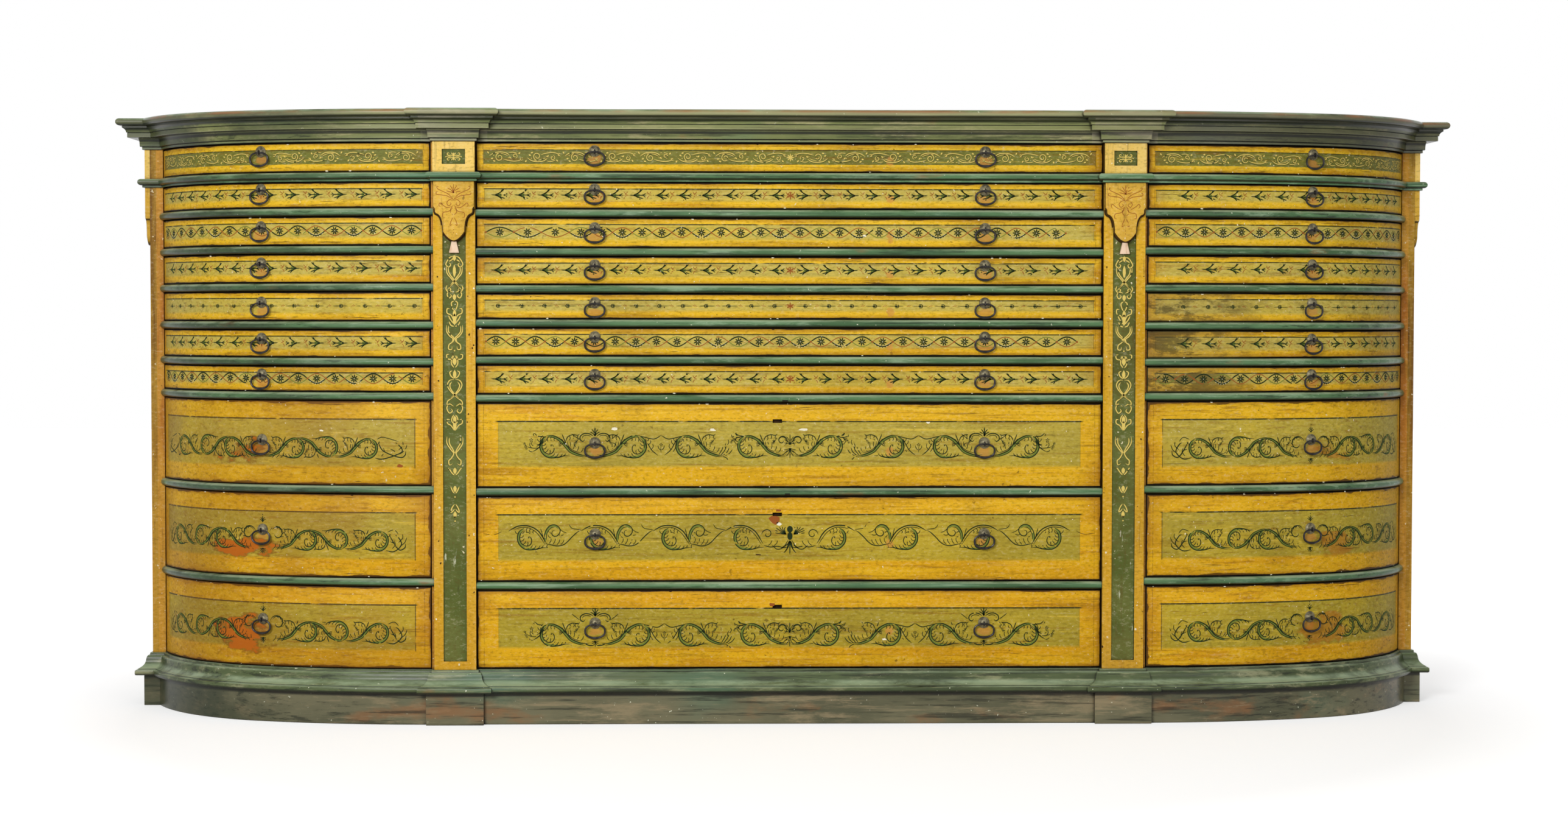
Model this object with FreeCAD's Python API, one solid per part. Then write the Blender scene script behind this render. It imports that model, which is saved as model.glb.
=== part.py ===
import FreeCAD, Part
import math
import os

os.makedirs("parts", exist_ok=True)

vec = FreeCAD.Vector

# A painted filing chest of thirty drawers: a flat centre bay between two bowed wings.
# Millimetres. +Z is up, the front faces -Y, and the origin is on the floor under the middle of the box.

# Driving sizes of the plan, all at the plane of the drawer faces
centre_half_width = 593.0
pilaster_width = 79.0
cheek_reveal = 5.0
gentle_radius = 980.0
gentle_turn = 19.5
tight_radius = 374.0
tight_turn = 50.5
body_depth = 500.0

# Driving sizes of the height
plinth_height = 61.0
base_height = 42.6
cornice_height = 59.4
waist_height = 17.0
rail_height = 14.6
shallow_row = 55.5
deep_row = 158.5
shallow_row_shares = (1.035, 0.94, 1.05, 0.995, 0.9, 0.995, 1.035)
deep_row_shares = (1.022, 1.03, 0.95)
wing_shallow_row_shares = (1.035, 0.905, 1.015, 1.013, 1.026, 0.977, 0.908)
wing_deep_row_shares = (1.022, 1.011)

# Boards
cheek_thickness = 14.0
back_thickness = 12.0
bottom_thickness = 18.0
frame_thickness = 20.0
end_gap = 1.5

# Pilasters and what is laid on them
shaft_thickness = 12.0
overlay_thickness = 10.0
sunk_depth = 3.5
sunk_width = 43.6
frieze_panel_height = 28.0
shaft_foot_margin = 16.0
shaft_panel_lap = 40.0
apron_drop = 113.0
apron_margin = 1.2
tassel_height = 21.5
tassel_foot_width = 18.5
tassel_head_width = 9.0
tassel_thickness = 8.0

# Mouldings: how far each stands out from the face that it runs along
cornice_projection = 48.0
slab_height = 14.2
waist_projection = 12.6
waist_fillet_height = 4.3
waist_fillet_projection = 4.0
rail_projection = 9.0
rail_depth = 38.0
base_projection = 31.0
plinth_projection = 15.0
turn_per_flat = 60.0
slab_turn_per_flat = 45.0

# Drawers
drawer_side_gap = 1.5
drawer_floor_gap = 1.5
drawer_ceiling_gap = 2.0
drawer_ride = 0.3
drawer_back_gap = 3.0
front_thickness = 20.0
side_thickness = 10.0
side_drop = 6.0
tray_thickness = 5.0
tray_rise = 6.0
runner_width = 24.0
lock_width = 18.0
lock_height = 7.0
lock_depth = 8.0
lock_offset = 24.0
lock_height_share = 0.79

# Ring pulls
pull_spread = 369.0
rosette_width = 21.0
rosette_nose_width = 13.0
rosette_height = 5.0
rosette_sides = 6
eye_reach = 8.0
eye_wall = 2.1
eye_width = 6.0
eye_clearance = 0.3
wire = 2.6
ring_half_width = 21.5
ring_half_height = 15.0
ring_stations = 8
pull_height_shares = (0.7, 0.72, 0.64, 0.68, 0.62, 0.66, 0.65, 0.52, 0.55, 0.57)

# One length by which a cutting solid runs past what it cuts
overrun = 5.0

# Places that follow from the sizes above
pilaster_middle = centre_half_width + pilaster_width / 2
pilaster_outer = centre_half_width + pilaster_width
wing_start = pilaster_outer + cheek_reveal
relief = shaft_thickness + overlay_thickness
total_depth = body_depth + relief + cornice_projection
back_y = total_depth / 2
face_y = back_y - body_depth
inside_back_y = back_y - back_thickness
base_top = plinth_height + base_height
shallow_count = len(shallow_row_shares)
row_count = shallow_count + len(deep_row_shares)


def heading(angle):
    """The direction that a bowed face looks in after it has turned by this angle."""
    turn = math.radians(angle)
    return vec(math.sin(turn), -math.cos(turn), 0)


# The bow of a wing is two arcs that meet without a corner: (centre, radius, first angle, turn)
full_turn = gentle_turn + tight_turn
gentle_centre = vec(wing_start, face_y + gentle_radius, 0)
tight_centre = gentle_centre + heading(gentle_turn) * (gentle_radius - tight_radius)
gentle_arc = (gentle_centre, gentle_radius, 0, gentle_turn)
tight_arc = (tight_centre, tight_radius, gentle_turn, tight_turn)


def wing_point(outward, angle):
    """A plan point of the right wing, this far out from its face, where the bow has this angle."""
    centre, radius = (gentle_centre, gentle_radius) if angle <= gentle_turn else (tight_centre, tight_radius)
    return centre + heading(angle) * (radius + outward)


wing_end = wing_point(0, full_turn)
cheek_inner = wing_end.x + end_gap
cheek_outer = cheek_inner + cheek_thickness
end_front_y = wing_end.y + end_gap
end_back_y = end_front_y + pilaster_width


def heights_of(shallow_shares, deep_shares):
    return [shallow_row * share for share in shallow_shares] + [deep_row * share for share in deep_shares]


def rail_under(row):
    return waist_height if row == 0 else rail_height


def row_levels(heights):
    """(floor, ceiling) of each row's opening, the top row first. The bottom row takes the height that is left."""
    levels = []
    ceiling = cornice_floor
    for row in range(row_count - 1):
        floor = ceiling - heights[row]
        levels.append((floor, ceiling))
        ceiling = floor - rail_under(row)
    return levels + [(base_top, ceiling)]


# The rows of the wings aren't quite level with those of the centre, apart from the top one
centre_heights = heights_of(shallow_row_shares, deep_row_shares)
cornice_floor = base_top + sum(centre_heights) + sum(rail_under(row) for row in range(row_count - 1))
centre_levels = row_levels(centre_heights)
wing_levels = row_levels(heights_of(wing_shallow_row_shares, wing_deep_row_shares))
waist_floor, waist_top = centre_levels[1][1], centre_levels[0][0]


def box(x_low, x_high, y_low, y_high, z_low, z_high):
    return Part.makeBox(x_high - x_low, y_high - y_low, z_high - z_low, vec(x_low, y_low, z_low))


def edges_along(moves, place):
    """Edges through a list of moves. A move of two numbers is a line, one of four is an arc (through, to)."""
    edges = []
    start = moves[0]
    for move in moves[1:]:
        end = move[-2:]
        if len(move) == 4:
            edges.append(Part.Arc(place(*start), place(*move[:2]), place(*end)).toShape())
        else:
            edges.append(Part.LineSegment(place(*start), place(*end)).toShape())
        start = end
    return edges


def chorded(moves, step=turn_per_flat):
    """The same moves with every arc cut into a few flats that turn by about this step."""
    flats = moves[:1]
    start = moves[0]
    for move in moves[1:]:
        if len(move) == 4:
            arc = Part.Arc(vec(*start, 0), vec(*move[:2], 0), vec(*move[2:], 0)).toShape()
            turn = math.degrees(arc.Length / arc.Curve.Radius)
            corners = arc.discretize(max(round(turn / step), 1) + 1)
            flats += [(corner.x, corner.y) for corner in corners[1:]]
        else:
            flats.append(move)
        start = move[-2:]
    return flats


def face_of(edges):
    return Part.Face(Part.Wire(Part.__sortEdges__(edges)))


def prism(points, z_low, z_high):
    """An upright solid over a plan outline of straight sides."""
    corners = [vec(x, y, z_low) for x, y in points]
    return Part.Face(Part.makePolygon(corners + corners[:1])).extrude(vec(0, 0, z_high - z_low))


def tapered(foot, head):
    """A solid of flat faces between two outlines that have as many corners."""
    count = len(foot)
    loops = [foot + foot[:1], head + head[:1]]
    for this in range(count):
        following = (this + 1) % count
        loops.append([foot[this], foot[following], head[following], head[this], foot[this]])
    faces = [Part.Face(Part.makePolygon(loop)) for loop in loops]
    return Part.Solid(Part.Shell(faces))


def mirrored(shape):
    return shape.mirror(vec(0, 0, 0), vec(1, 0, 0))


def both_sides(shapes):
    return list(shapes) + [mirrored(shape) for shape in shapes]


def joined(shapes):
    return shapes[0].fuse(shapes[1:]).removeSplitter()


def export(name, shapes):
    Part.makeCompound(shapes).exportStep(f"parts/{name}.step")


# A moulding is drawn once, as moves of (how far out, how high) up its outer side, and then run along each face.


def closed(moves, inset):
    """The moulding's outer side, closed by a plain back this far inside the face."""
    return moves + [(-inset, moves[-1][-1]), (-inset, moves[0][1]), moves[0]]


def run_across(moves, inset, x_start, x_end, y, z):
    """A length that faces the front."""
    face = face_of(edges_along(closed(moves, inset), lambda n, h: vec(x_start, y - n, z + h)))
    return face.extrude(vec(x_end - x_start, 0, 0))


def run_back(moves, inset, x, y_start, y_end, z):
    """A length along the right side."""
    face = face_of(edges_along(closed(moves, inset), lambda n, h: vec(x + n, y_start, z + h)))
    return face.extrude(vec(0, y_end - y_start, 0))


def run_round(moves, inset, arc, z):
    """A length along one arc of the right wing."""
    centre, radius, start, turn = arc
    lift = vec(0, 0, z)
    face = face_of(
        edges_along(closed(moves, inset), lambda n, h: centre + heading(start) * (radius + n) + lift + vec(0, 0, h))
    )
    return face.revolve(centre, vec(0, 0, 1), turn)


def span_face(moves, low, high, wrap_low, wrap_high, place):
    """The outline of a block seen end on: the moulding on its wrapped sides, upright lines on the others."""
    bottom, top = moves[0][1], moves[-1][-1]
    plain = [(0, bottom), (0, top)]
    left, right = (moves if wrap_low else plain), (moves if wrap_high else plain)
    edges = edges_along(left, lambda n, h: place(low - n, h))
    edges += edges_along(right, lambda n, h: place(high + n, h))
    for end, height in ((0, bottom), (-1, top)):
        corners = place(low - left[end][-2], height), place(high + right[end][-2], height)
        edges.append(Part.LineSegment(*corners).toShape())
    return face_of(edges)


def block(moves, x_span, y_span, z, wrap_x, wrap_y):
    """A moulding mitred round a block. Each wrap says whether it turns round the low and the high side."""
    (x_low, x_high), (y_low, y_high) = x_span, y_span
    reach = max(move[-2] for move in moves) + overrun
    seen_from_front = span_face(moves, x_low, x_high, *wrap_x, lambda a, h: vec(a, y_low - reach, z + h))
    seen_from_side = span_face(moves, y_low, y_high, *wrap_y, lambda a, h: vec(x_low - reach, a, z + h))
    lengthways = seen_from_front.extrude(vec(0, y_high - y_low + 2 * reach, 0))
    crossways = seen_from_side.extrude(vec(x_high - x_low + 2 * reach, 0, 0))
    return lengthways.common(crossways)


def surround(moves, inset, z, block_relief):
    """The lengths of a moulding round the chest, which breaks forward round all four pilasters."""
    front_block = block(
        moves,
        (centre_half_width, pilaster_outer),
        (face_y - block_relief, face_y + inset),
        z,
        (True, True),
        (True, False),
    )
    end_block = block(
        moves,
        (cheek_inner - inset, cheek_outer + block_relief),
        (end_front_y, end_back_y),
        z,
        (False, True),
        (True, True),
    )
    right = [
        run_across(moves, inset, pilaster_middle, wing_start, face_y, z),
        run_round(moves, inset, gentle_arc, z),
        run_round(moves, inset, tight_arc, z),
        run_back(moves, inset + cheek_thickness, cheek_outer, end_front_y + pilaster_width / 2, back_y, z),
        front_block,
        end_block,
    ]
    return [run_across(moves, inset, -pilaster_middle, pilaster_middle, face_y, z)] + both_sides(right)


def frame(moves, inset, z, block_relief):
    """A moulding round the chest with a plain board across the back."""
    height = moves[-1][-1]
    back = box(-cheek_outer, cheek_outer, back_y - inset, back_y, z, z + height)
    return joined(surround(moves, inset, z, block_relief) + [back])


def bow_moves(outward, first, last):
    """Moves along the bow of the right wing, this far out from its face, from one angle to another."""
    angles = (first, (first + gentle_turn) / 2, gentle_turn, (gentle_turn + last) / 2, last)
    points = [wing_point(outward, angle) for angle in angles]
    start, gentle_middle, meeting, tight_middle, end = [(p.x, p.y) for p in points]
    return [start, gentle_middle + meeting, tight_middle + end]


def body_slab(inset, z_low, z_high):
    """A board of the chest's own plan, this far inside its faces and back."""
    right = bow_moves(-inset, 0, full_turn) + [(cheek_inner - inset, back_y - inset)]
    edges = edges_along(right, lambda x, y: vec(x, y, z_low))
    edges += edges_along(right, lambda x, y: vec(-x, y, z_low))
    for x, y in (right[0], right[-1]):
        edges.append(Part.LineSegment(vec(-x, y, z_low), vec(x, y, z_low)).toShape())
    return face_of(edges).extrude(vec(0, 0, z_high - z_low))


def cornice_moves():
    """The cornice below its top slab: fillet, cavetto, broad soffit, fascia, cavetto and fillet."""
    out, up = cornice_projection, cornice_height - slab_height
    moves = [
        (0.09 * out, 0),
        (0.09 * out, 0.11 * up),
        (0.17 * out, 0.14 * up),
        (0.18 * out, 0.33 * up, 0.21 * out, 0.49 * up),
        (0.6 * out, 0.49 * up),
        (0.6 * out, 0.7 * up),
        (0.67 * out, 0.77 * up, 0.77 * out, 0.91 * up),
        (0.77 * out, up),
    ]
    return chorded(moves)


def nose_moves(projection, height, step=turn_per_flat):
    """An edge rounded to a full half circle."""
    radius = height / 2
    return chorded([(projection - radius, 0), (projection, radius, projection - radius, height)], step)


def waist_moves():
    """A fillet under a half-round astragal."""
    radius = (waist_height - waist_fillet_height) / 2
    shoulder = waist_projection - radius
    moves = [
        (waist_fillet_projection, 0),
        (waist_fillet_projection, waist_fillet_height),
        (shoulder, waist_fillet_height),
        (waist_projection, waist_fillet_height + radius, shoulder, waist_height),
    ]
    return chorded(moves)


def base_moves():
    """From the bottom: torus, fillet, cove, ovolo and top fillet."""
    out, up = base_projection, base_height
    moves = [
        (0.87 * out, 0),
        (out, 0.12 * up, 0.87 * out, 0.24 * up),
        (0.8 * out, 0.29 * up),
        (0.6 * out, 0.37 * up, 0.48 * out, 0.58 * up),
        (0.4 * out, 0.78 * up, 0.17 * out, 0.9 * up),
        (0.17 * out, up),
    ]
    return chorded(moves)


def plain_moves(projection, height):
    return [(projection, 0), (projection, height)]


def on_front(shapes):
    """Pieces drawn on the right front pilaster, and their twins on the left one."""
    return both_sides(shapes)


def on_end(shapes):
    """The same pieces turned to the right end pilaster, and their twins on the left one."""
    turned = []
    for shape in shapes:
        piece = shape.copy()
        piece.translate(vec(-pilaster_middle, -face_y, 0))
        piece.rotate(vec(0, 0, 0), vec(0, 0, 1), 90)
        piece.translate(vec(cheek_outer, (end_front_y + end_back_y) / 2, 0))
        turned.append(piece)
    return both_sides(turned)


def sunk_panel(thickness_face, z_low, z_high):
    """What is cut from a pilaster board for a panel, behind a face that stands this far out."""
    half = sunk_width / 2
    y = face_y - thickness_face
    return box(pilaster_middle - half, pilaster_middle + half, y - overrun, y + sunk_depth, z_low, z_high)


def shaft():
    board = box(centre_half_width, pilaster_outer, face_y - shaft_thickness, face_y, base_top, cornice_floor)
    panel = sunk_panel(shaft_thickness, base_top + shaft_foot_margin, waist_floor - shaft_panel_lap)
    return board.cut(panel)


def frieze_block():
    front = face_y - relief
    board = box(centre_half_width, pilaster_outer, front, face_y - shaft_thickness, waist_top, cornice_floor)
    middle = (waist_top + cornice_floor) / 2
    return board.cut(sunk_panel(relief, middle - frieze_panel_height / 2, middle + frieze_panel_height / 2))


def apron():
    """A lambrequin: square shoulders, a cove to each side and a tongue with a round end."""
    half = pilaster_width / 2 - apron_margin
    shoulder, neck = 0.95 * half, 0.56 * half
    side = [
        (half, 0),
        (half, 0.44 * apron_drop),
        (shoulder, 0.46 * apron_drop),
        (shoulder, 0.51 * apron_drop),
        (0.67 * half, 0.56 * apron_drop, neck, 0.71 * apron_drop),
        (neck, 0.84 * apron_drop),
    ]
    side = chorded(side)
    front = face_y - shaft_thickness
    edges = edges_along(side, lambda u, d: vec(pilaster_middle + u, front, waist_floor - d))
    edges += edges_along(side, lambda u, d: vec(pilaster_middle - u, front, waist_floor - d))
    tongue = chorded([(neck, 0.84 * apron_drop), (0, apron_drop, -neck, 0.84 * apron_drop)])
    top = [(half, 0), (-half, 0)]
    for closing in (tongue, top):
        edges += edges_along(closing, lambda u, d: vec(pilaster_middle + u, front, waist_floor - d))
    return face_of(edges).extrude(vec(0, -overlay_thickness, 0))


def tassel():
    """The little weight that hangs under an apron, seated in the sunk panel."""
    top = waist_floor - apron_drop
    seat = face_y - shaft_thickness + sunk_depth
    head, foot = tassel_head_width / 2, tassel_foot_width / 2
    outline = [(head, 0), (foot, tassel_height), (-foot, tassel_height), (-head, 0), (head, 0)]
    edges = edges_along(outline, lambda u, d: vec(pilaster_middle + u, seat, top - d))
    return face_of(edges).extrude(vec(0, -tassel_thickness, 0))


def cheeks():
    """The upright boards between the bays, in pairs behind the front pilasters, and one at each end."""
    bay = box(centre_half_width, centre_half_width + cheek_thickness, face_y, inside_back_y, base_top, cornice_floor)
    wing = box(wing_start - cheek_thickness, wing_start, face_y, inside_back_y, base_top, cornice_floor)
    end = box(cheek_inner, cheek_outer, end_front_y, inside_back_y, base_top, cornice_floor)
    return both_sides([bay, wing, end])


def waist():
    """The waist moulding, fitted round the pilasters and against the drawer rails."""
    lengths = joined(surround(waist_moves(), 0, waist_floor, relief))
    front_core = box(
        centre_half_width, pilaster_outer, face_y - shaft_thickness, face_y, waist_floor - overrun, waist_top + overrun
    )
    end_core = box(
        cheek_inner - overrun,
        cheek_outer + shaft_thickness,
        end_front_y,
        end_back_y,
        waist_floor - overrun,
        waist_top + overrun,
    )
    side_core = box(cheek_inner - overrun, cheek_outer, end_front_y, back_y, waist_floor - overrun, waist_top + overrun)
    return lengths.cut(both_sides([front_core, end_core, side_core]))


# The back of a bowed drawer front is built up from flat staves; these are the places of their joints.
gentle_stave_shares = (0, 0.5, 1)
tight_stave_shares = (0.34, 0.67, 1)


def stave_points(inset, first, last):
    """Plan points down the flat back of a bowed front, from one angle to another."""
    angles = [first + share * (gentle_turn - first) for share in gentle_stave_shares]
    angles += [gentle_turn + share * (last - gentle_turn) for share in tight_stave_shares]
    return [wing_point(-inset, angle) for angle in angles]


def bowed_board(back_points, first, last, z_low, z_high):
    """A board with a bowed face and this back."""
    face = bow_moves(0, first, last)
    outline = face + [(p.x, p.y) for p in reversed(back_points)] + face[:1]
    return face_of(edges_along(outline, lambda x, y: vec(x, y, z_low))).extrude(vec(0, 0, z_high - z_low))


def bowed_rail(z, height, rounded):
    """The rail under a wing drawer: sawn to the bow in front, straight behind, its nose over the cheek's edge."""
    ends = [wing_point(-rail_depth, 0), wing_point(-rail_depth, full_turn)]
    board = bowed_board(ends, 0, full_turn, z, z + height)
    if not rounded:
        return board
    nose = nose_moves(rail_projection, height)
    lengths = [run_round(nose, 0, arc, z) for arc in (gentle_arc, tight_arc)]
    return joined([board, *lengths, run_across(nose, 0, pilaster_outer, wing_start, face_y, z)])


def rails_and_runners():
    """The front rail of every level, and the flat strips behind it that the drawers ride on."""
    rails, runners = [], []
    near, far = wing_point(-rail_depth, 0), wing_point(-rail_depth, full_turn)
    slope = (far.y - near.y) / (far.x - near.x)
    outer_edge = wing_start + runner_width
    inner_edge = wing_point(-front_thickness, full_turn).x - side_thickness - tray_thickness
    inner_notch = far.y - slope * (far.x - inner_edge)
    outer_notch = near.y + slope * (outer_edge - near.x)
    far_runner = [(inner_edge, inner_notch), (far.x, far.y), (cheek_inner, far.y)]
    far_runner += [(cheek_inner, inside_back_y), (inner_edge, inside_back_y)]
    near_runner = [(near.x, near.y), (outer_edge, outer_notch)]
    near_runner += [(outer_edge, inside_back_y), (near.x, inside_back_y)]
    inner, start = centre_half_width - runner_width, face_y + rail_depth
    for row in range(1, row_count):
        rounded = row > 1
        z, top = centre_levels[row][1], centre_levels[row - 1][0]
        edge = nose_moves(rail_projection, top - z) if rounded else plain_moves(0, top - z)
        rails.append(run_across(edge, rail_depth, -centre_half_width, centre_half_width, face_y, z))
        runners += both_sides([box(inner, centre_half_width, start, inside_back_y, z, top)])
        z, top = wing_levels[row][1], wing_levels[row - 1][0]
        rails += both_sides([bowed_rail(z, top - z, rounded)])
        runners += both_sides([prism(near_runner, z, top), prism(far_runner, z, top)])
    return rails, runners


def pull_parts():
    """A rosette, the eye on it and a ring that hangs in the eye, on a face at the origin that looks along -Y."""
    def corners(width, y):
        turns = [2 * math.pi * (side + 0.5) / rosette_sides for side in range(rosette_sides)]
        return [vec(width / 2 * math.cos(turn), y, width / 2 * math.sin(turn)) for turn in turns]

    rosette = tapered(corners(rosette_width, 0), corners(rosette_nose_width, -rosette_height))
    hole = wire / math.sqrt(2) + eye_clearance
    knuckle = hole + eye_wall
    half = eye_width / 2
    eye = box(-half, half, -eye_reach - knuckle, -rosette_height, -knuckle, knuckle)
    through = box(-rosette_width, rosette_width, -eye_reach - hole, -eye_reach + hole, -hole, hole)
    return [rosette, eye.cut(through)], ring()


def ring():
    """An oval ring with a flat at its top, where it hangs in the eye. Its wire is square in section."""
    def loop(offset):
        corners = []
        for station in range(ring_stations + 1):
            turn = 2 * math.pi * (station + 0.5) / ring_stations
            x = (ring_half_width + offset) * math.cos(turn)
            z = (ring_half_height + offset) * math.sin(turn)
            corners.append(vec(x, -eye_reach + wire / 2, z))
        return Part.makePolygon(corners)

    hang = ring_half_height * math.cos(math.pi / ring_stations)
    band = Part.Face([loop(wire / 2), loop(-wire / 2)]).extrude(vec(0, -wire, 0))
    band.translate(vec(0, 0, -hang))
    return band


def placed(shape, spot, angle, height):
    """A pull moved to its place on a drawer face."""
    piece = shape.copy()
    piece.rotate(vec(0, 0, 0), vec(0, 0, 1), angle)
    piece.translate(vec(spot.x, spot.y, height))
    return piece


def front_span(opening):
    """(bottom, top) of the front of the drawer in this opening."""
    floor, ceiling = opening
    return floor + drawer_floor_gap, ceiling - drawer_ceiling_gap


def side_span(opening):
    floor, ceiling = opening
    return floor + drawer_ride, ceiling - drawer_ceiling_gap - side_drop


def tray_span(opening):
    low = opening[0] + tray_rise
    return low, low + tray_thickness


def pull_height(opening, share):
    low, high = front_span(opening)
    return low + share * (high - low)


def centre_drawer(opening, locked):
    """Front, two sides, back and bottom of a drawer of the flat bay."""
    z_low, z_high = front_span(opening)
    side_low, side_high = side_span(opening)
    half = centre_half_width - drawer_side_gap
    inner = half - side_thickness
    behind = face_y + front_thickness
    rear = inside_back_y - drawer_back_gap
    front = box(-half, half, face_y, behind, z_low, z_high)
    if locked:
        middle = z_low + lock_height_share * (z_high - z_low)
        lock = box(
            -lock_offset - lock_width / 2,
            -lock_offset + lock_width / 2,
            face_y - overrun,
            face_y + lock_depth,
            middle - lock_height / 2,
            middle + lock_height / 2,
        )
        front = front.cut(lock)
    side = box(inner, half, behind, rear, side_low, side_high)
    back = box(-inner, inner, rear - side_thickness, rear, side_low, side_high)
    tray = box(-inner, inner, behind, rear - side_thickness, *tray_span(opening))
    return [front, back, tray] + both_sides([side])


def wing_drawer(opening):
    """The same for the right wing, with a bowed front, a long inner side and a short outer one."""
    z_low, z_high = front_span(opening)
    side_low, side_high = side_span(opening)
    first = math.degrees(math.asin(drawer_side_gap / gentle_radius))
    last = full_turn - math.degrees(drawer_side_gap / tight_radius)
    back_line = stave_points(front_thickness, first, last)
    front = bowed_board(back_line, first, last, z_low, z_high)
    start, before, end = back_line[0], back_line[-2], back_line[-1]
    rear = inside_back_y - drawer_back_gap
    near, far = start.x + side_thickness, end.x - side_thickness
    near_share = (near - start.x) / (back_line[1].x - start.x)
    near_y = start.y + near_share * (back_line[1].y - start.y)
    far_share = (far - before.x) / (end.x - before.x)
    far_y = before.y + far_share * (end.y - before.y)
    long_side = prism([(start.x, start.y), (near, near_y), (near, rear), (start.x, rear)], side_low, side_high)
    short_side = prism([(end.x, end.y), (far, far_y), (far, rear), (end.x, rear)], side_low, side_high)
    back = box(near, far, rear - side_thickness, rear, side_low, side_high)
    inside = [(near, near_y)] + [(p.x, p.y) for p in back_line[1:-1]] + [(far, far_y)]
    tray = prism(inside + [(far, rear - side_thickness), (near, rear - side_thickness)], *tray_span(opening))
    return [front, long_side, short_side, back, tray]


def make_carcass():
    export("plinth", [frame(plain_moves(plinth_projection, plinth_height), frame_thickness, 0, shaft_thickness)])
    export("base_moulding", [frame(base_moves(), frame_thickness, plinth_height, shaft_thickness)])
    export("bottom_board", [body_slab(frame_thickness, base_top - bottom_thickness, base_top)])
    export("cheeks", cheeks())
    back = box(-cheek_outer, cheek_outer, inside_back_y, back_y, base_top, cornice_floor)
    export("back_panel", [back])
    export("cornice", [frame(cornice_moves(), frame_thickness, cornice_floor, relief)])
    slab_floor = cornice_floor + cornice_height - slab_height
    nose = nose_moves(cornice_projection, slab_height, slab_turn_per_flat)
    edge = surround(nose, frame_thickness, slab_floor, relief)
    core = body_slab(frame_thickness / 2, slab_floor, slab_floor + slab_height)
    rear = box(-cheek_outer, cheek_outer, back_y - frame_thickness, back_y, slab_floor, slab_floor + slab_height)
    export("top_board", [joined(edge + [core, rear])])
    export("waist_moulding", waist().Solids)
    rails, runners = rails_and_runners()
    export("divider_rails", rails)
    export("drawer_runners", runners)
    export("front_pilasters", on_front([shaft()]))
    export("end_pilasters", on_end([shaft()]))
    friezes = [frieze_block()]
    export("frieze_blocks", on_front(friezes) + on_end(friezes))
    hangings = [apron(), tassel()]
    export("aprons", on_front(hangings) + on_end(hangings))


def make_drawers():
    plate_and_eye, hanging_ring = pull_parts()
    spots = [vec(side * pull_spread, face_y, 0) for side in (-1, 1)]
    wing_spot = wing_point(0, gentle_turn)
    for row in range(row_count):
        name = f"row{row + 1}"
        deep = row >= shallow_count
        height = pull_height(centre_levels[row], pull_height_shares[row])
        rosettes = [placed(part, spot, 0, height) for spot in spots for part in plate_and_eye]
        export(f"drawer_centre_{name}", centre_drawer(centre_levels[row], deep) + rosettes)
        export(f"ring_pair_{name}", [placed(hanging_ring, spot, 0, height) for spot in spots])
        height = pull_height(wing_levels[row], pull_height_shares[row])
        wing_ring = placed(hanging_ring, wing_spot, gentle_turn, height)
        pieces = wing_drawer(wing_levels[row])
        pieces += [placed(part, wing_spot, gentle_turn, height) for part in plate_and_eye]
        if deep:
            export(f"ring_right_{name}", [wing_ring])
            export(f"ring_left_{name}", [mirrored(wing_ring)])
        else:
            pieces.append(wing_ring)
        export(f"drawer_right_{name}", pieces)
        export(f"drawer_left_{name}", [mirrored(piece) for piece in pieces])


make_carcass()
make_drawers()
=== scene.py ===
import bmesh
import bpy
import math
import random
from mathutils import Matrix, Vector


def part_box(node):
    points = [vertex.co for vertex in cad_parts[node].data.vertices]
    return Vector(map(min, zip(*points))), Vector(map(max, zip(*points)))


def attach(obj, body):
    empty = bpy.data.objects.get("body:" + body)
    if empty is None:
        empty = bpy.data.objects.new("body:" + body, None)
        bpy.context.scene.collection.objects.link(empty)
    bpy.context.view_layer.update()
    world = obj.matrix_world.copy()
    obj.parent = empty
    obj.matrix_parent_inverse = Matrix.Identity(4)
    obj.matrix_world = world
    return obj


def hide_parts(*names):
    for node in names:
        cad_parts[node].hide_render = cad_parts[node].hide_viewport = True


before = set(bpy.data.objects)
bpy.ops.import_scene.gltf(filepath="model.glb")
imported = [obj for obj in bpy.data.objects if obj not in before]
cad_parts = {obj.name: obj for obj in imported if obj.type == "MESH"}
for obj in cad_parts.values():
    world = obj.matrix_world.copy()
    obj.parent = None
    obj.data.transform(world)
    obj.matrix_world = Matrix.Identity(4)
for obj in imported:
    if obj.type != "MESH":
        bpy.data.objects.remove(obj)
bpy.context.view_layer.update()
rng = random.Random(11)

MM = 0.001

# Sizes in millimetres: the plan, the boards, the gaps, the lock pockets, the rails and the pulls
HALF = 593.0
PILASTER = 79.0
REVEAL = 5.0
R1, TURN1 = 980.0, math.radians(19.5)
R2, TURN2 = 374.0, math.radians(50.5)
SHAFT, OVERLAY = 12.0, 10.0
SUNK, SUNK_WIDTH = 3.5, 43.6
CHEEK, END_STEP = 14.0, 1.5
FRONT, SIDE, TRAY = 20.0, 10.0, 5.0
GAP, HEAD_GAP, REAR_GAP = 1.5, 2.0, 3.0
SIDE_DROP, SIDE_LOWER, TRAY_LIFT = 1.2, 6.0, 4.5
POCKET, POCKET_HEIGHT, POCKET_DEPTH, POCKET_SHARE = (-33.0, -15.0), 7.0, 8.0, 0.79
RAIL_DEPTH, RAIL_NOSE = 38.0, 9.0
INSET = 20.0
APRON_DROP = 113.0
PULL_SPREAD = 369.0
PULL_SHARES = (0.7, 0.72, 0.64, 0.68, 0.62, 0.66, 0.65, 0.52, 0.55, 0.57)
EYE_REACH = 8.0
ROSETTE_LIFT = 1.5


def span(node):
    """The box of a frame node in millimetres."""
    low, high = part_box(node)
    return [c / MM for c in low], [c / MM for c in high]


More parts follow.
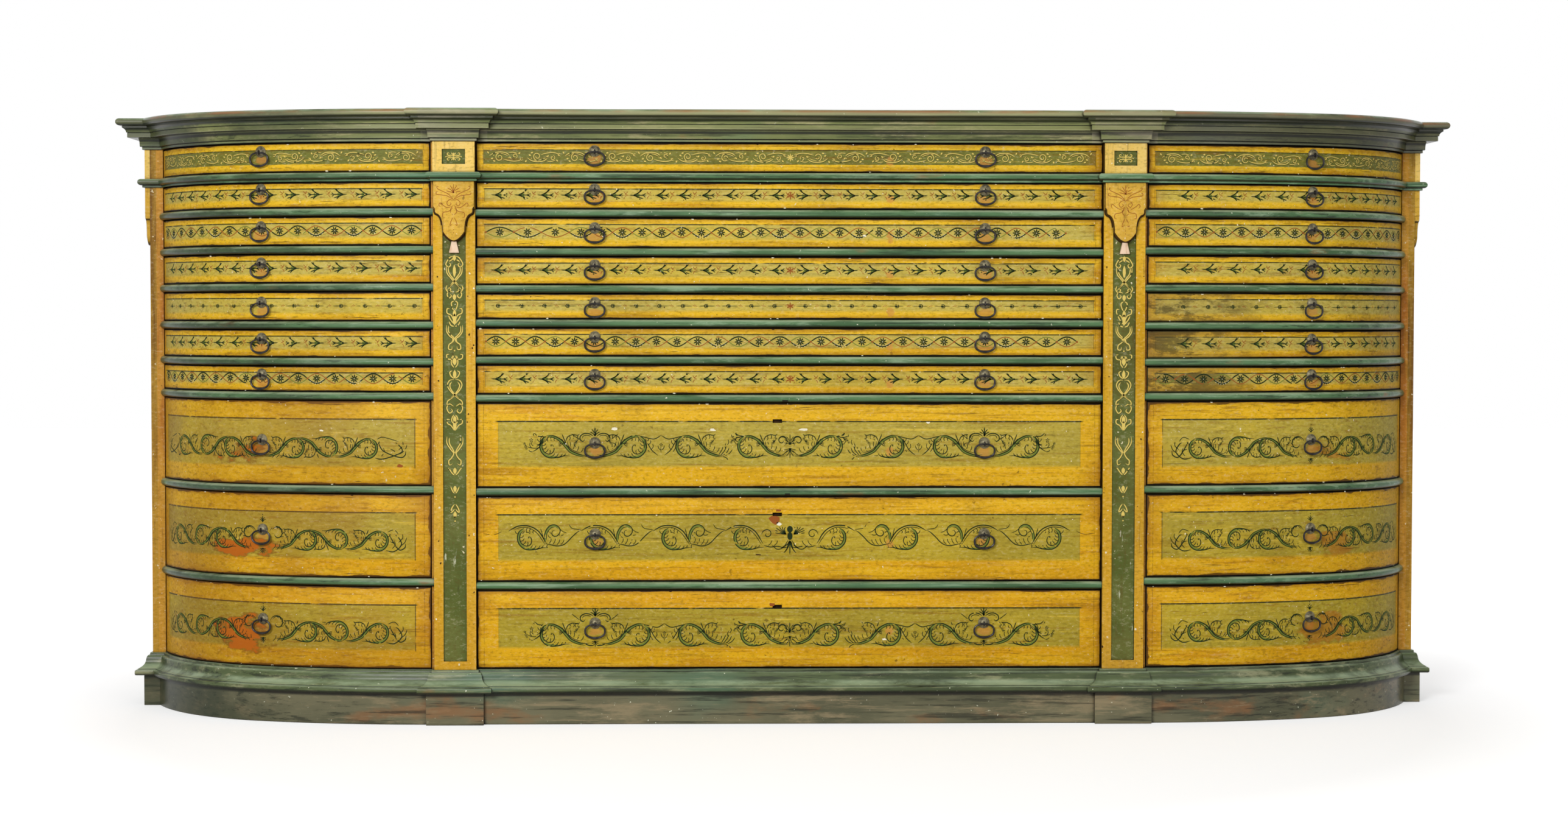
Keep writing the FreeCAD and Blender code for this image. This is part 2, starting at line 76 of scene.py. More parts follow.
cheek_low, cheek_high = span("cheeks")
FACE, CHEEK_OUT = cheek_low[1], cheek_high[0]
BASE_TOP, CORNICE_FLOOR = cheek_low[2], cheek_high[2]
BACK = span("back_panel")[1][1]
INSIDE_BACK = span("back_panel")[0][1]
PLINTH_TOP = span("plinth")[1][2]
WAIST_FLOOR, WAIST_TOP = span("waist_moulding")[0][2], span("waist_moulding")[1][2]
SLAB_FLOOR, TOP = span("top_board")[0][2], span("top_board")[1][2]
RELIEF = SHAFT + OVERLAY
OUTER = HALF + PILASTER
WING = OUTER + REVEAL
PIL_MIDDLE = HALF + PILASTER / 2
GENTLE = R1 * TURN1
BOW = GENTLE + R2 * TURN2
C1 = (WING, FACE + R1)
C2 = (C1[0] + math.sin(TURN1) * (R1 - R2), C1[1] - math.cos(TURN1) * (R1 - R2))


def bow(u, side=1, out=0.0):
    """Plan point and outward direction of a wing, this far along its face from the inner end."""
    if u <= GENTLE:
        angle, centre, radius = u / R1, C1, R1
    else:
        angle, centre, radius = TURN1 + (u - GENTLE) / R2, C2, R2
    nx, ny = math.sin(angle), -math.cos(angle)
    return side * (centre[0] + nx * (radius + out)), centre[1] + ny * (radius + out), side * nx, ny


END_FRONT = bow(BOW)[1] + END_STEP
END_BACK = END_FRONT + PILASTER
CHEEK_IN = CHEEK_OUT - CHEEK


def rows_of(place):
    """(bottom, top) of the fronts of one column of drawers."""
    found = []
    for row in range(10):
        low, high = span(f"drawer_{place}_row{row + 1}")
        found.append((low[2] + SIDE_DROP, high[2]))
    return found


ROWS = {place: rows_of(place) for place in ("centre", "left", "right")}
SIDES = {"left": -1, "right": 1}


# Materials


def rgb(red, green, blue):
    """A colour written as it looks on the screen, from 0 to 255."""
    shares = [c / 255 for c in (red, green, blue)]
    return [((c + 0.055) / 1.055) ** 2.4 if c > 0.04 else c / 12.92 for c in shares] + [1.0]


class Paint:
    """One node material, built up in layers of colour."""

    def __init__(self, name, colour, rough=0.55, metallic=0.0, specular=0.1):
        self.material = bpy.data.materials.new(name)
        self.material.use_nodes = True
        self.tree = self.material.node_tree
        self.shader = self.tree.nodes["Principled BSDF"]
        self.colour = rgb(*colour)
        self.height = None
        plain = {"Base Color": self.colour, "Roughness": rough}
        plain.update({"Metallic": metallic, "Specular IOR Level": specular})
        for label, value in plain.items():
            self.shader.inputs[label].default_value = value
        self.place = self.node("TexCoord")["Object"]

    def put(self, socket, value):
        if isinstance(value, bpy.types.NodeSocket):
            self.tree.links.new(value, socket)
        else:
            socket.default_value = value

    def node(self, kind, inputs=(), **settings):
        """Adds a node, gives it its settings and inputs, and returns its outputs."""
        made = self.tree.nodes.new(f"ShaderNode{kind}")
        for name, value in settings.items():
            setattr(made, name, value)
        for key, value in dict(inputs).items():
            self.put(made.inputs[key], value)
        return made.outputs

    def math(self, operation, *values):
        return self.node("Math", enumerate(values), operation=operation)[0]

    def split(self, vector):
        return self.node("SeparateXYZ", {0: vector})

    def attribute(self, name):
        return self.split(self.node("Attribute", attribute_name=name)["Vector"])

    def facing(self):
        """The parts of the surface's outward direction."""
        return self.split(self.node("NewGeometry")["Normal"])

    def noise(self, scale, stretch=(1, 1, 1), detail=4.0, rough=0.55, shift=(0, 0, 0), warp=0.0):
        place = self.node("Mapping", {"Vector": self.place, "Scale": stretch, "Location": shift})[0]
        inputs = {"Vector": place, "Scale": scale, "Detail": detail, "Roughness": rough, "Distortion": warp}
        return self.node("TexNoise", inputs)["Fac"]

    def step(self, value, low, high):
        """0 below low and 1 above high, or the other way round, smoothly."""
        inputs = {"Value": value, "From Min": min(low, high), "From Max": max(low, high)}
        inputs.update({"To Min": float(low > high), "To Max": float(low <= high)})
        return self.node("MapRange", inputs, interpolation_type="SMOOTHSTEP")["Result"]

    def times(self, *values):
        result = values[0]
        for value in values[1:]:
            result = self.math("MULTIPLY", result, value)
        return result

    def away(self, value, level):
        """How far a value is from a level."""
        return self.math("ABSOLUTE", self.math("SUBTRACT", value, level))

    def band(self, value, *ends):
        """1 between the middle two of four places in millimetres, and 0 outside the others."""
        outer_low, low, high, outer_high = [end * MM for end in ends]
        return self.times(self.step(value, outer_low, low), self.step(value, outer_high, high))

    def oval(self, values, centre, reach, noise, uneven):
        """How far out a spot with a ragged rim this is, 1 at its edge."""
        squares = []
        for value, middle, half in zip(values, centre, reach):
            share = self.times(self.math("SUBTRACT", value, middle), 1 / half)
            squares.append(self.math("POWER", share, 2.0))
        ragged = self.math("MULTIPLY_ADD", noise, uneven, -uneven / 2)
        return self.math("ADD", self.math("SQRT", self.math("ADD", *squares)), ragged)

    def cover(self, mask, colour, strength=1.0):
        """Lays a colour over what is there, where the mask is 1."""
        if strength != 1.0:
            mask = self.times(mask, strength)
        over = rgb(*colour) if isinstance(colour, tuple) else colour
        inputs = {"Factor": mask, "A": self.colour, "B": over}
        self.colour = self.node("Mix", inputs, data_type="RGBA")["Result"]

    def layer(self, value, low, high, colour, strength=1.0):
        """Covers what lies past a level of some value."""
        self.cover(self.step(value, low, high), colour, strength)

    def mixed(self, mask, first, second):
        kept, self.colour = self.colour, rgb(*first)
        self.cover(mask, second)
        made, self.colour = self.colour, kept
        return made

    def crevice_shade(self, reach=0.009):
        """Painted shade where the surface lies close to another, found by ambient occlusion."""
        near = self.node("AmbientOcclusion", {"Distance": reach}, samples=8)["AO"]
        self.layer(near, 0.72, 0.3, (20, 15, 8), 0.85)

    def raise_by(self, mask, amount):
        scaled = self.times(mask, amount)
        self.height = scaled if self.height is None else self.math("ADD", self.height, scaled)

    def done(self, bump=0.3, depth=0.001):
        self.put(self.shader.inputs["Base Color"], self.colour)
        if self.height is not None:
            inputs = {"Strength": bump, "Distance": depth, "Height": self.height}
            self.put(self.shader.inputs["Normal"], self.node("Bump", inputs)[0])
        return self.material


def wear(paint, streaks, dirt=(70, 46, 20), chips=(236, 224, 186)):
    """What age leaves on any painted board: cloudy tone, fine scratches along it, dirt and pale chips."""
    cloud = paint.noise(5.0, detail=3.0)
    grain = paint.noise(210.0, stretch=(0.5, 0.8, 1), detail=3.0, rough=0.7, shift=(4, 7, 5))
    fine = paint.noise(30.0, stretch=streaks, detail=6.0, rough=0.7)
    spots = paint.noise(95.0, detail=3.0, shift=(3, 1, 7))
    field = paint.noise(7.0, detail=2.0, shift=(8, 2, 1))
    flecks = paint.noise(140.0, detail=2.0, shift=(1, 9, 4))
    paint.layer(cloud, 0.45, 0.75, dirt, 0.22)
    paint.layer(grain, 0.52, 0.66, dirt, 0.3)
    paint.layer(grain, 0.46, 0.34, chips, 0.14)
    paint.layer(fine, 0.55, 0.7, dirt, 0.42)
    paint.layer(fine, 0.4, 0.26, chips, 0.12)
    paint.cover(paint.times(paint.step(spots, 0.69, 0.71), paint.step(field, 0.5, 0.62)), dirt, 0.6)
    paint.cover(paint.times(paint.step(flecks, 0.71, 0.74), paint.step(field, 0.6, 0.45)), chips, 0.9)
    paint.raise_by(fine, 0.5)
    paint.raise_by(cloud, 0.3)
    return fine, cloud


# Painted shade along the grooves of the mouldings, (height, reach), and painted highlights in bands on the
# cornice, (low, high, tone, strength)
GROOVE_SHADES = {
    "cornice": (CORNICE_FLOOR, ((0.0, 1.7), (5.0, 1.4), (17.4, 3.8), (32.0, 1.0), (42.6, 2.4))),
    "base": (PLINTH_TOP, ((1.4, 3.4), (11.4, 1.6), (38.0, 1.1), (42.6, 1.2))),
}
CORNICE_HIGHLIGHTS = [
    (1.4, 3.2, (150, 162, 124), 0.5), (21.0, 24.2, (176, 174, 128), 0.6), (24.0, 31.0, (140, 140, 92), 0.4),
    (45.0, 55.0, (172, 168, 130), 0.5),
]
# Notches broken out of two rails, their hollows drawn as painted shade: from, to, and the height of the
# rail's foot
SHADED_NOTCHES = [(-15, -4, ROWS["centre"][7][1]), (-10, 0, ROWS["centre"][8][1])]
BLOCK_LAP = 23.0


def green_material(part, base, dark, light, bare=(0.64, 0.72)):
    """Old green paint of the mouldings: worn light and dark, streaks and bare wood, with painted shade in
    grooves, under overhangs and on returns, and painted highlights on upward faces and cornice bands.
    """
    paint = Paint(f"green_{part}", base, rough=0.3, specular=0.22)
    broad = paint.noise(9.0, stretch=(0.35, 1, 1), detail=5.0)
    worn = paint.noise(24.0, stretch=(0.25, 1, 1), detail=7.0, rough=0.7, shift=(5, 3, 2))
    blue = paint.noise(4.0, stretch=(0.6, 1, 1), shift=(9, 9, 2))
    brown = paint.noise(13.0, stretch=(0.4, 1, 1), detail=5.0, shift=(2, 8, 6))
    streak = paint.noise(46.0, stretch=(0.1, 1.3, 2.6), detail=6.0, rough=0.72, shift=(1, 4, 7))
    paint.layer(broad, 0.42, 0.62, dark, 0.75)
    paint.layer(worn, 0.52, 0.66, light, 0.7)
    paint.layer(blue, 0.56, 0.7, (76, 118, 96), 0.36)
    paint.layer(brown, *bare, (142, 96, 58), 0.62)
    paint.layer(streak, 0.53, 0.63, tuple(0.42 * c for c in dark), 0.7)
    paint.layer(streak, 0.45, 0.33, light, 0.65)
    paint.layer(paint.noise(150.0, detail=2.0), 0.725, 0.75, (226, 226, 200), 0.8)
    x, _, z = paint.split(paint.place)
    x_out = paint.math("ABSOLUTE", x)
    sideways, backward, upward = paint.facing()
    if part == "cornice":
        # Painted highlights in bands on the cornice's fillet, fascia and slab
        for low, high, tone, strength in CORNICE_HIGHLIGHTS:
            ends = [CORNICE_FLOOR + end for end in (low - 0.8, low + 0.8, high - 0.8, high + 0.8)]
            paint.cover(paint.band(z, *ends), tone, strength)
    if part == "plinth":
        # Painted shadow cast by the base moulding on the top of the plinth
        paint.layer(z, (PLINTH_TOP - 10) * MM, (PLINTH_TOP - 5) * MM, (20, 18, 14), 0.8)
    if part != "base":
        left = paint.step(x, -(HALF + 100) * MM, -(HALF + 500) * MM)
        paint.cover(paint.times(left, paint.step(broad, 0.25, 0.5)), (46, 54, 36), 0.7)
    if part == "cornice":
        right = paint.step(x, HALF * MM, (HALF + 180) * MM)
        paint.cover(paint.times(right, paint.step(broad, 0.3, 0.5)), (52, 48, 40), 0.65)
    # Painted shade in the grooves of the cornice and base
    foot, grooves = GROOVE_SHADES.get(part, (0.0, ()))
    for level, reach in grooves:
        paint.layer(paint.away(z, (foot + level) * MM), reach * MM, 0.3 * reach * MM, (20, 20, 10), 0.85)
    # Painted shade on the returns, the faces that turn sideways near the pilasters
    shaded_returns = paint.times(paint.step(paint.math("ABSOLUTE", sideways), 0.6, 0.85),
                         paint.step(x_out, 0.76, 0.74))
    paint.cover(shaded_returns, (18, 22, 12), 0.8)
    if part == "cornice":
        start, end = HALF - BLOCK_LAP, OUTER + BLOCK_LAP
        block = paint.band(x_out, start - 1, start + 1, end - 1, end + 1)
        facing_us = paint.step(backward, -0.7, -0.9)
        paint.cover(paint.times(block, facing_us, paint.step(worn, 0.35, 0.6)), (158, 150, 126), 0.4)
    if part != "plinth":
        # Painted highlight on faces that look up, broken by wear, and painted shade on faces that look down
        paint.cover(paint.times(paint.step(upward, 0.25, 0.75), paint.step(worn, 0.32, 0.56)),
                    (166, 184, 148), 0.68)
        paint.layer(upward, -0.3, -0.75, (16, 22, 10), 0.9)
        lip = paint.times(paint.step(z, (TOP - 9) * MM, (TOP - 3) * MM), paint.step(upward, 0.9, 0.7))
        paint.cover(paint.times(lip, paint.step(brown, 0.42, 0.6)), (158, 98, 58), 0.75)
    # Painted shade where the notches are broken out of the rails
    for low, high, floor in SHADED_NOTCHES if part == "rail" else ():
        across = paint.band(x, low - 0.4, low + 0.4, high - 0.4, high + 0.4)
        upright = paint.band(z, floor - 2, floor - 1, floor + 6.6, floor + 7.4)
        paint.cover(paint.times(across, upright), (12, 10, 6), 0.95)
    # Painted shade in tight corners and between parts
    paint.crevice_shade()
    paint.raise_by(worn, 0.6)
    return paint.done(bump=0.35, depth=0.0008)


def wood_material(name, base, dark, light):
    paint = Paint(name, base, rough=0.75)
    grain = paint.noise(26.0, stretch=(0.08, 0.9, 1.4), detail=7.0, rough=0.65, warp=0.6)
    paint.layer(grain, 0.4, 0.64, dark, 0.8)
    paint.layer(paint.noise(3.0, stretch=(0.5, 1, 1), detail=3.0), 0.4, 0.7, light, 0.5)
    paint.layer(paint.noise(2.1, detail=5.0, shift=(4, 4, 1)), 0.58, 0.74, (70, 52, 36), 0.5)
    paint.raise_by(grain, 0.6)
    return paint.done()


YELLOW_TOP, YELLOW_LOW = (233, 188, 42), (218, 161, 20)
OLIVE_TOP, OLIVE_LOW = (190, 173, 84), (166, 149, 48)
BAND_GREEN = (112, 114, 48)
# Near black of the painted shade in the gaps round a drawer front
GAP_SHADE = (14, 10, 6)
# Borders beside, above and below the panel of a front, in metres
BAND_BORDERS = (0.0135, 0.0125, 0.0145)
SHALLOW_BORDERS = (0.0155, 0.0115, 0.0135)
DEEP_BORDERS = (0.040, 0.034, 0.038)
DEEP_WING_BORDERS = (0.030, 0.034, 0.034)
SIDE_BOARD = 0.0125


def front_material(kind, borders, panels, line, scuffs=0.0, soot=0.0, end_ink=0.45):
    """A drawer front: a border, a panel (its tone high and low on the chest), a dark line and wear, with
    painted shade along its edges and in tight corners.
    """
    band = kind == "band"
    end_border, top_border, foot_border = borders
    paint = Paint(f"front_{kind}", YELLOW_TOP, rough=0.5)
    along, top, foot = paint.attribute("edge")
    beside_pull, above_pull, _ = paint.attribute("pull")
    low = paint.step(paint.split(paint.place)[2], 1.0, 0.2)
    paint.cover(low, YELLOW_LOW)
    brush = paint.noise(22.0, stretch=(0.12, 0.5, 1.6), detail=6.0, rough=0.65)
    grain = paint.noise(64.0, stretch=(0.07, 1.0, 2.4), detail=5.0, rough=0.7, shift=(8, 2, 4))
    paint.layer(brush, 0.38, 0.6, (236, 186, 30), 0.5)
    paint.layer(brush, 0.58, 0.7, (196, 130, 20), 0.6)

    uneven = paint.math("MULTIPLY_ADD", paint.noise(60.0, detail=3.0), 0.0022, -0.0011)
    crisp = (0.0004, 0.0004)
    rims = ((along, end_border, crisp), (top, top_border, crisp),
            (foot, foot_border, crisp if band else (0.003, 0.005)))
    inside = paint.times(*[
        paint.step(paint.math("ADD", gap, uneven), border - outer, border + inner)
        for gap, border, (outer, inner) in rims
    ])
    patchy = paint.noise(11.0, stretch=(0.3, 1, 1), detail=5.0, shift=(7, 1, 3))
    paint.cover(inside, paint.mixed(low, *panels), 1.0 if band else 0.92)
    paint.cover(paint.times(inside, paint.step(patchy, 0.45, 0.68)),
                (130, 124, 48) if band else (204, 174, 44), 0.5)
    paint.layer(grain, 0.54, 0.66, (134, 86, 16), 0.5)
    paint.layer(grain, 0.44, 0.32, (246, 208, 76), 0.4)
    stain = paint.times(paint.step(along, 0.05, 0.0), paint.step(patchy, 0.42, 0.6))
    paint.cover(stain, (166, 104, 20), 0.5)

    broken = paint.step(paint.noise(40.0, stretch=(0.5, 1, 1), shift=(1, 1, 5)), 0.3, 0.42)
    top_line = paint.times(
        paint.step(paint.away(top, top_border), line, 0.7 * line),
        paint.step(along, 0.8 * end_border, end_border),
    )
    end_line = paint.times(
        paint.step(paint.away(along, end_border), 0.8 * line, 0.4 * line),
        paint.step(top, 0.9 * top_border, top_border),
        paint.step(foot, 0.9 * foot_border, foot_border),
    )
    paint.cover(paint.times(top_line, broken), (36, 44, 18), 0.95)
    paint.cover(paint.times(end_line, broken), (52, 56, 22), end_ink)

    fine, cloud = wear(paint, streaks=(0.22, 3.0, 4.4))
    joint = paint.step(paint.away(along, SIDE_BOARD), 0.0009, 0.0002)
    paint.cover(paint.times(joint, paint.step(fine, 0.4, 0.55)), (84, 52, 20), 0.55)
    nearest = paint.math("MINIMUM", paint.math("MINIMUM", along, top), foot)
    soft = paint.math("SUBTRACT", nearest, paint.times(cloud, 0.012))
    paint.layer(soft, 0.003, -0.003, (150, 92, 20), 0.4)
    ragged = paint.noise(38.0, stretch=(0.4, 1, 1), detail=5.0, shift=(2, 2, 2))
    ragged = paint.math("MULTIPLY_ADD", ragged, *((0.018, -0.0066) if scuffs else (0.012, -0.0048)))
    paint.layer(paint.math("SUBTRACT", nearest, ragged), 0.0009, 0.0, (70, 42, 14), 0.85)
    # Painted shade: near black along the top, foot and ends of the front, where the gaps lie in shadow
    paint.layer(top, 0.0021, 0.0013, GAP_SHADE, 0.92)
    paint.layer(foot, 0.0027, 0.0019, GAP_SHADE, 0.94)
    paint.layer(along, 0.0019, 0.0011, GAP_SHADE, 0.9)

    pull = (beside_pull, above_pull)
    rub_noise = paint.noise(70.0, stretch=(0.4, 1, 1.5), detail=4.0)
    rub = paint.oval(pull, (0.0, -0.0155), (0.016, 0.0105), rub_noise, 1.8)
    paint.layer(rub, 1.0, 0.6, (204, 138, 66), 0.62)
    if scuffs > 0.5:
        paint.layer(cloud, 0.3, 0.6, (150, 96, 30), 0.3)
    if scuffs:
        scuff_noise = paint.noise(16.0, stretch=(0.5, 1, 1.2), detail=6.0, rough=0.65, shift=(6, 2, 9))
        scuff = paint.oval(pull, (0.045, -0.028), (0.075, 0.03), scuff_noise, 5.0)
        paint.layer(scuff, 0.85, 0.6, (112, 62, 20), 0.7 * scuffs)
        paint.layer(scuff, 0.62, 0.4, (190, 98, 22), scuffs)
    if soot:
        smoke = paint.noise(13.0, stretch=(0.5, 1, 1.3), detail=9.0, rough=0.78, shift=(3, 3, 8))
        inner = paint.step(beside_pull, -0.09, -0.24)
        paint.cover(inner, (150, 132, 70), 0.35)
        paint.cover(paint.times(paint.step(smoke, 0.48, 0.56), inner), (56, 46, 26), soot)
        paint.layer(smoke, 0.54, 0.64, (92, 80, 40), 0.5 * soot)
    paint.layer(paint.facing()[2], 0.8, 0.92, (146, 108, 58), 0.95)
    # Painted shade in tight corners and between parts
    paint.crevice_shade(reach=0.006)
    paint.raise_by(brush, 0.5)
    return paint.done(depth=0.0008)


def ochre_material(name, base, sunk=None, shaded_sides=False):
    """Yellow paint of the pilasters, with green where the panel is sunk behind a plane (axis, place), and, if
    asked, painted shade on the faces that turn away from the front.
    """
    paint = Paint(name, base, rough=0.5)
    brush = paint.noise(20.0, stretch=(1.4, 1.4, 0.12), detail=6.0, rough=0.65)
    paint.layer(brush, 0.38, 0.6, (232, 188, 70), 0.45)
    paint.layer(brush, 0.57, 0.7, (180, 118, 34), 0.5)
    x, y, z = paint.split(paint.place)
    paint.layer(z, 0.8, 0.15, (196, 146, 44), 0.5)
    if sunk:
        axis, plane = sunk
        out = paint.math("ABSOLUTE", x)
        if axis == "y":
            depth, across = y, paint.away(out, PIL_MIDDLE * MM)
        else:
            depth, across = paint.times(out, -1.0), paint.away(y, (END_FRONT + END_BACK) / 2 * MM)
        half_sunk = (SUNK_WIDTH / 2 + 0.3) * MM
        behind = paint.step(depth, plane - 0.0002, plane + 0.0002)
        green = paint.times(behind, paint.step(across, half_sunk, half_sunk - 0.0001))
        tone = paint.mixed(paint.step(paint.noise(12.0, detail=5.0), 0.4, 0.65), (84, 94, 40), (102, 108, 52))
        paint.cover(green, tone)
        scratch = paint.noise(60.0, stretch=(1.5, 1.5, 0.3), detail=4.0, shift=(1, 5, 2))
        lower = paint.step(z, 0.45, 0.36)
        paint.cover(paint.times(green, paint.step(scratch, 0.66, 0.7), lower), (206, 206, 176), 0.8)
        paint.cover(paint.times(green, paint.step(scratch, 0.34, 0.28)), (70, 76, 36), 0.7)
    wear(paint, streaks=(4.4, 4.4, 0.3), dirt=(92, 58, 24))
    if shaded_sides:
        # Painted shade on the faces that turn away from the front, round the aprons, blocks and sunk panels
        paint.layer(paint.facing()[1], -0.8, -0.55, (34, 24, 10), 0.92)
    # Painted shade in tight corners and between parts
    paint.crevice_shade()
    return paint.done(depth=0.0008)


def metal_material(name, base, rough, metallic, scale, low, high, tone, strength):
    paint = Paint(name, base, rough=rough, metallic=metallic)
    paint.layer(paint.noise(scale), low, high, tone, strength)
    paint.raise_by(paint.noise(300.0, detail=2.0), 0.6)
    return paint.done(depth=0.0004)


def tassel_material():
    paint = Paint("tassel_paint", (236, 206, 178))
    paint.layer(paint.noise(110.0, stretch=(1, 1, 0.3)), 0.5, 0.66, (206, 160, 118), 0.6)
    paint.raise_by(paint.noise(60.0), 0.3)
    return paint.done()


# Painted shade: the lock pocket is near black, standing in for the dark inside a keyhole
def hole_shade_material():
    paint = Paint("shaded_hole", (38, 26, 16), rough=0.9)
    paint.layer(paint.noise(60.0), 0.4, 0.7, (60, 40, 22))
    return paint.done()


# How far behind a face its sunk green panel starts, in millimetres
GREEN_BEHIND = 1.2
MATERIALS = {
    "cornice": green_material("cornice", (122, 128, 76), (80, 90, 50), (176, 168, 122)),
    "rail": green_material("rail", (84, 120, 78), (52, 84, 50), (142, 168, 134)),
    "base": green_material("base", (84, 96, 60), (48, 58, 34), (156, 156, 118)),
    "plinth": green_material("plinth", (112, 108, 82), (72, 74, 54), (152, 136, 104), bare=(0.55, 0.66)),
    "wood": wood_material("bare_wood", (150, 116, 76), (112, 82, 50), (172, 138, 96)),
    "side": wood_material("drawer_wood", (166, 132, 88), (124, 94, 58), (186, 152, 106)),
    "shaft": ochre_material("ochre_shaft", (214, 162, 22), ("y", (FACE - SHAFT + GREEN_BEHIND) * MM),
                            shaded_sides=True),
    "end_shaft": ochre_material("ochre_end_shaft", (108, 68, 20),
                                ("x", -(CHEEK_OUT + SHAFT - GREEN_BEHIND) * MM)),
    "apron": ochre_material("ochre_apron", (214, 168, 62), shaded_sides=True),
    "cheek": ochre_material("ochre_cheek", (180, 110, 40)),
    "frieze": ochre_material("ochre_frieze", (240, 204, 112), ("y", (FACE - RELIEF + GREEN_BEHIND) * MM),
                             shaded_sides=True),
    "iron": metal_material("dark_iron", (44, 42, 42), 0.34, 0.5, 120.0, 0.45, 0.62, (70, 66, 64), 0.6),
    "rosette": metal_material("worn_iron", (132, 124, 98), 0.4, 0.3, 150.0, 0.42, 0.6, (62, 58, 48), 0.7),
    "tassel": tassel_material(),
    "hole": hole_shade_material(),
}
OLIVE, FLAT_OLIVE = (OLIVE_TOP, OLIVE_LOW), (OLIVE_TOP, OLIVE_TOP)
FRONTS = {
    "band": front_material("band", BAND_BORDERS, (BAND_GREEN, BAND_GREEN), 0.001),
    "shallow": front_material("shallow", SHALLOW_BORDERS, FLAT_OLIVE, 0.0013),
    "deep": front_material("deep", DEEP_BORDERS, OLIVE, 0.0016, end_ink=0.2),
    "deep_left": front_material("deep_left", DEEP_WING_BORDERS, OLIVE, 0.0016, scuffs=0.85, end_ink=0.85),
    "deep_right": front_material("deep_right", DEEP_WING_BORDERS, OLIVE, 0.0016, scuffs=0.35, end_ink=0.7),
    "sooty": front_material("sooty", SHALLOW_BORDERS, FLAT_OLIVE, 0.0013, soot=0.68),
}


# Meshes


def loft(loops, ring=False):
    """Points and faces between loops that have as many corners."""
    count, faces = len(loops[0]), []
    for i in range(len(loops) if ring else len(loops) - 1):
        a, b = i * count, (i + 1) % len(loops) * count
        for j in range(count):
            k = (j + 1) % count
            faces.append((a + j, a + k, b + k, b + j))
    if not ring:
        last = (len(loops) - 1) * count
        faces += [tuple(range(count)), tuple(range(last, last + count))]
    return [p for loop in loops for p in loop], faces


class Build:
    """Collects closed shells and makes one object of them. Places are in millimetres."""

    def __init__(self):
        self.points, self.faces, self.slots = [], [], []
        self.edge, self.pull = {}, {}

    def add(self, points, faces, slot=0):
        first = len(self.points)
        self.points += [tuple(c * MM for c in p) for p in points]
        self.faces += [tuple(first + i for i in face) for face in faces]
        self.slots += [slot] * len(faces)
        return first

    def prism(self, outline, z_low, z_high, slot=0):
        self.add(*loft([[(x, y, z) for x, y in outline] for z in (z_low, z_high)]), slot)

    def box(self, x_span, y_span, z_span, slot=0):
        (x0, x1), (y0, y1) = x_span, y_span
        self.prism([(x0, y0), (x1, y0), (x1, y1), (x0, y1)], *z_span, slot)

    def sweep(self, path, profile, z, slot=0, wobble=0.0):
        """Runs a closed profile of (out, up) along (x, y, nx, ny) stations, uneven by the wobble."""
        loops, phase = [], rng.uniform(0, 6)
        travelled, before = 0.0, path[0]
        for station in path:
            travelled += math.dist(station[:2], before[:2])
            before = station
            waves = math.sin(travelled / 61 + phase) + 0.6 * math.sin(travelled / 23 + 2 * phase)
            sway, lift = wobble * (waves - 1.7), wobble * 0.5 * (math.sin(travelled / 83 + 3 * phase) - 1.0)
            x, y, nx, ny = station
            loop = []
            for out, up in profile:
                reach = out + (sway if out > 0 else 0.0)
                loop.append((x + nx * reach, y + ny * reach, max(z + up + (lift if out > 2 else 0.0), 0.0)))
            loops.append(loop)
        self.add(*loft(loops), slot)

    def make(self, name, body, materials, slot=None, replaces=(), sharp=34.0):
        mesh = bpy.data.meshes.new(name)
        mesh.from_pydata(self.points, [], self.faces)
        mesh.polygons.foreach_set("material_index", self.slots)
        for label, values in (("edge", self.edge), ("pull", self.pull)):
            if values:
                layer = mesh.attributes.new(label, "FLOAT_VECTOR", "POINT")
                for i, value in values.items():
                    layer.data[i].vector = value
        for material in materials:
            mesh.materials.append(material)
        work = bmesh.new()
        work.from_mesh(mesh)
        bmesh.ops.recalc_face_normals(work, faces=work.faces)
        for edge in work.edges:
            edge.smooth = len(edge.link_faces) == 2 and edge.calc_face_angle(0.0) < math.radians(sharp)
        for face in work.faces:
            face.smooth = True
        work.to_mesh(mesh)
        work.free()
        made = bpy.data.objects.new(name, mesh)
        bpy.context.scene.collection.objects.link(made)
        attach(made, body)
        if replaces:
            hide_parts(*replaces)
        return made


def curve(*points, steps=6):
    """Points down a quadratic or cubic curve, without its first point."""
    found = []
    for i in range(1, steps + 1):
        t = i / steps
        level = list(points)
        while len(level) > 1:
            level = [tuple(a + (b - a) * t for a, b in zip(p, q)) for p, q in zip(level, level[1:])]
        found.append(level[0])
    return found


def nose(projection, height, inset, steps=10, low=0.0):
    """A half-round edge."""
    radius = (height - low) / 2
    arc = [math.pi * i / steps - math.pi / 2 for i in range(steps + 1)]
    rounded = [(projection - radius + radius * math.cos(a), low + radius + radius * math.sin(a)) for a in arc]
    return [(-inset, low)] + rounded + [(-inset, height)]


def mitred(corners):
    """Stations down a plan line of straight lengths, for a line that has its outer side on the left."""
    stations = []
    for i, (x, y) in enumerate(corners):
        normals = []
        for a, b in ((i - 1, i), (i, i + 1)):
            if 0 <= a and b < len(corners):
                dx, dy = corners[b][0] - corners[a][0], corners[b][1] - corners[a][1]
                length = math.hypot(dx, dy)
                normals.append((-dy / length, dx / length))
        if len(normals) == 2:
            (ax, ay), (bx, by) = normals
            share = 1 / (1 + ax * bx + ay * by)
            stations.append((x, y, (ax + bx) * share, (ay + by) * share))
        else:
            stations.append((x, y, *normals[0]))
    return stations


def flip(path):
    """The same path on the left side."""
    return [(-x, y, -nx, ny) for x, y, nx, ny in path]


def straight(x_low, x_high, step=40.0):
    count = max(1, round((x_high - x_low) / step))
    return [(x_low + (x_high - x_low) * i / count, FACE, 0.0, -1.0) for i in range(count + 1)]


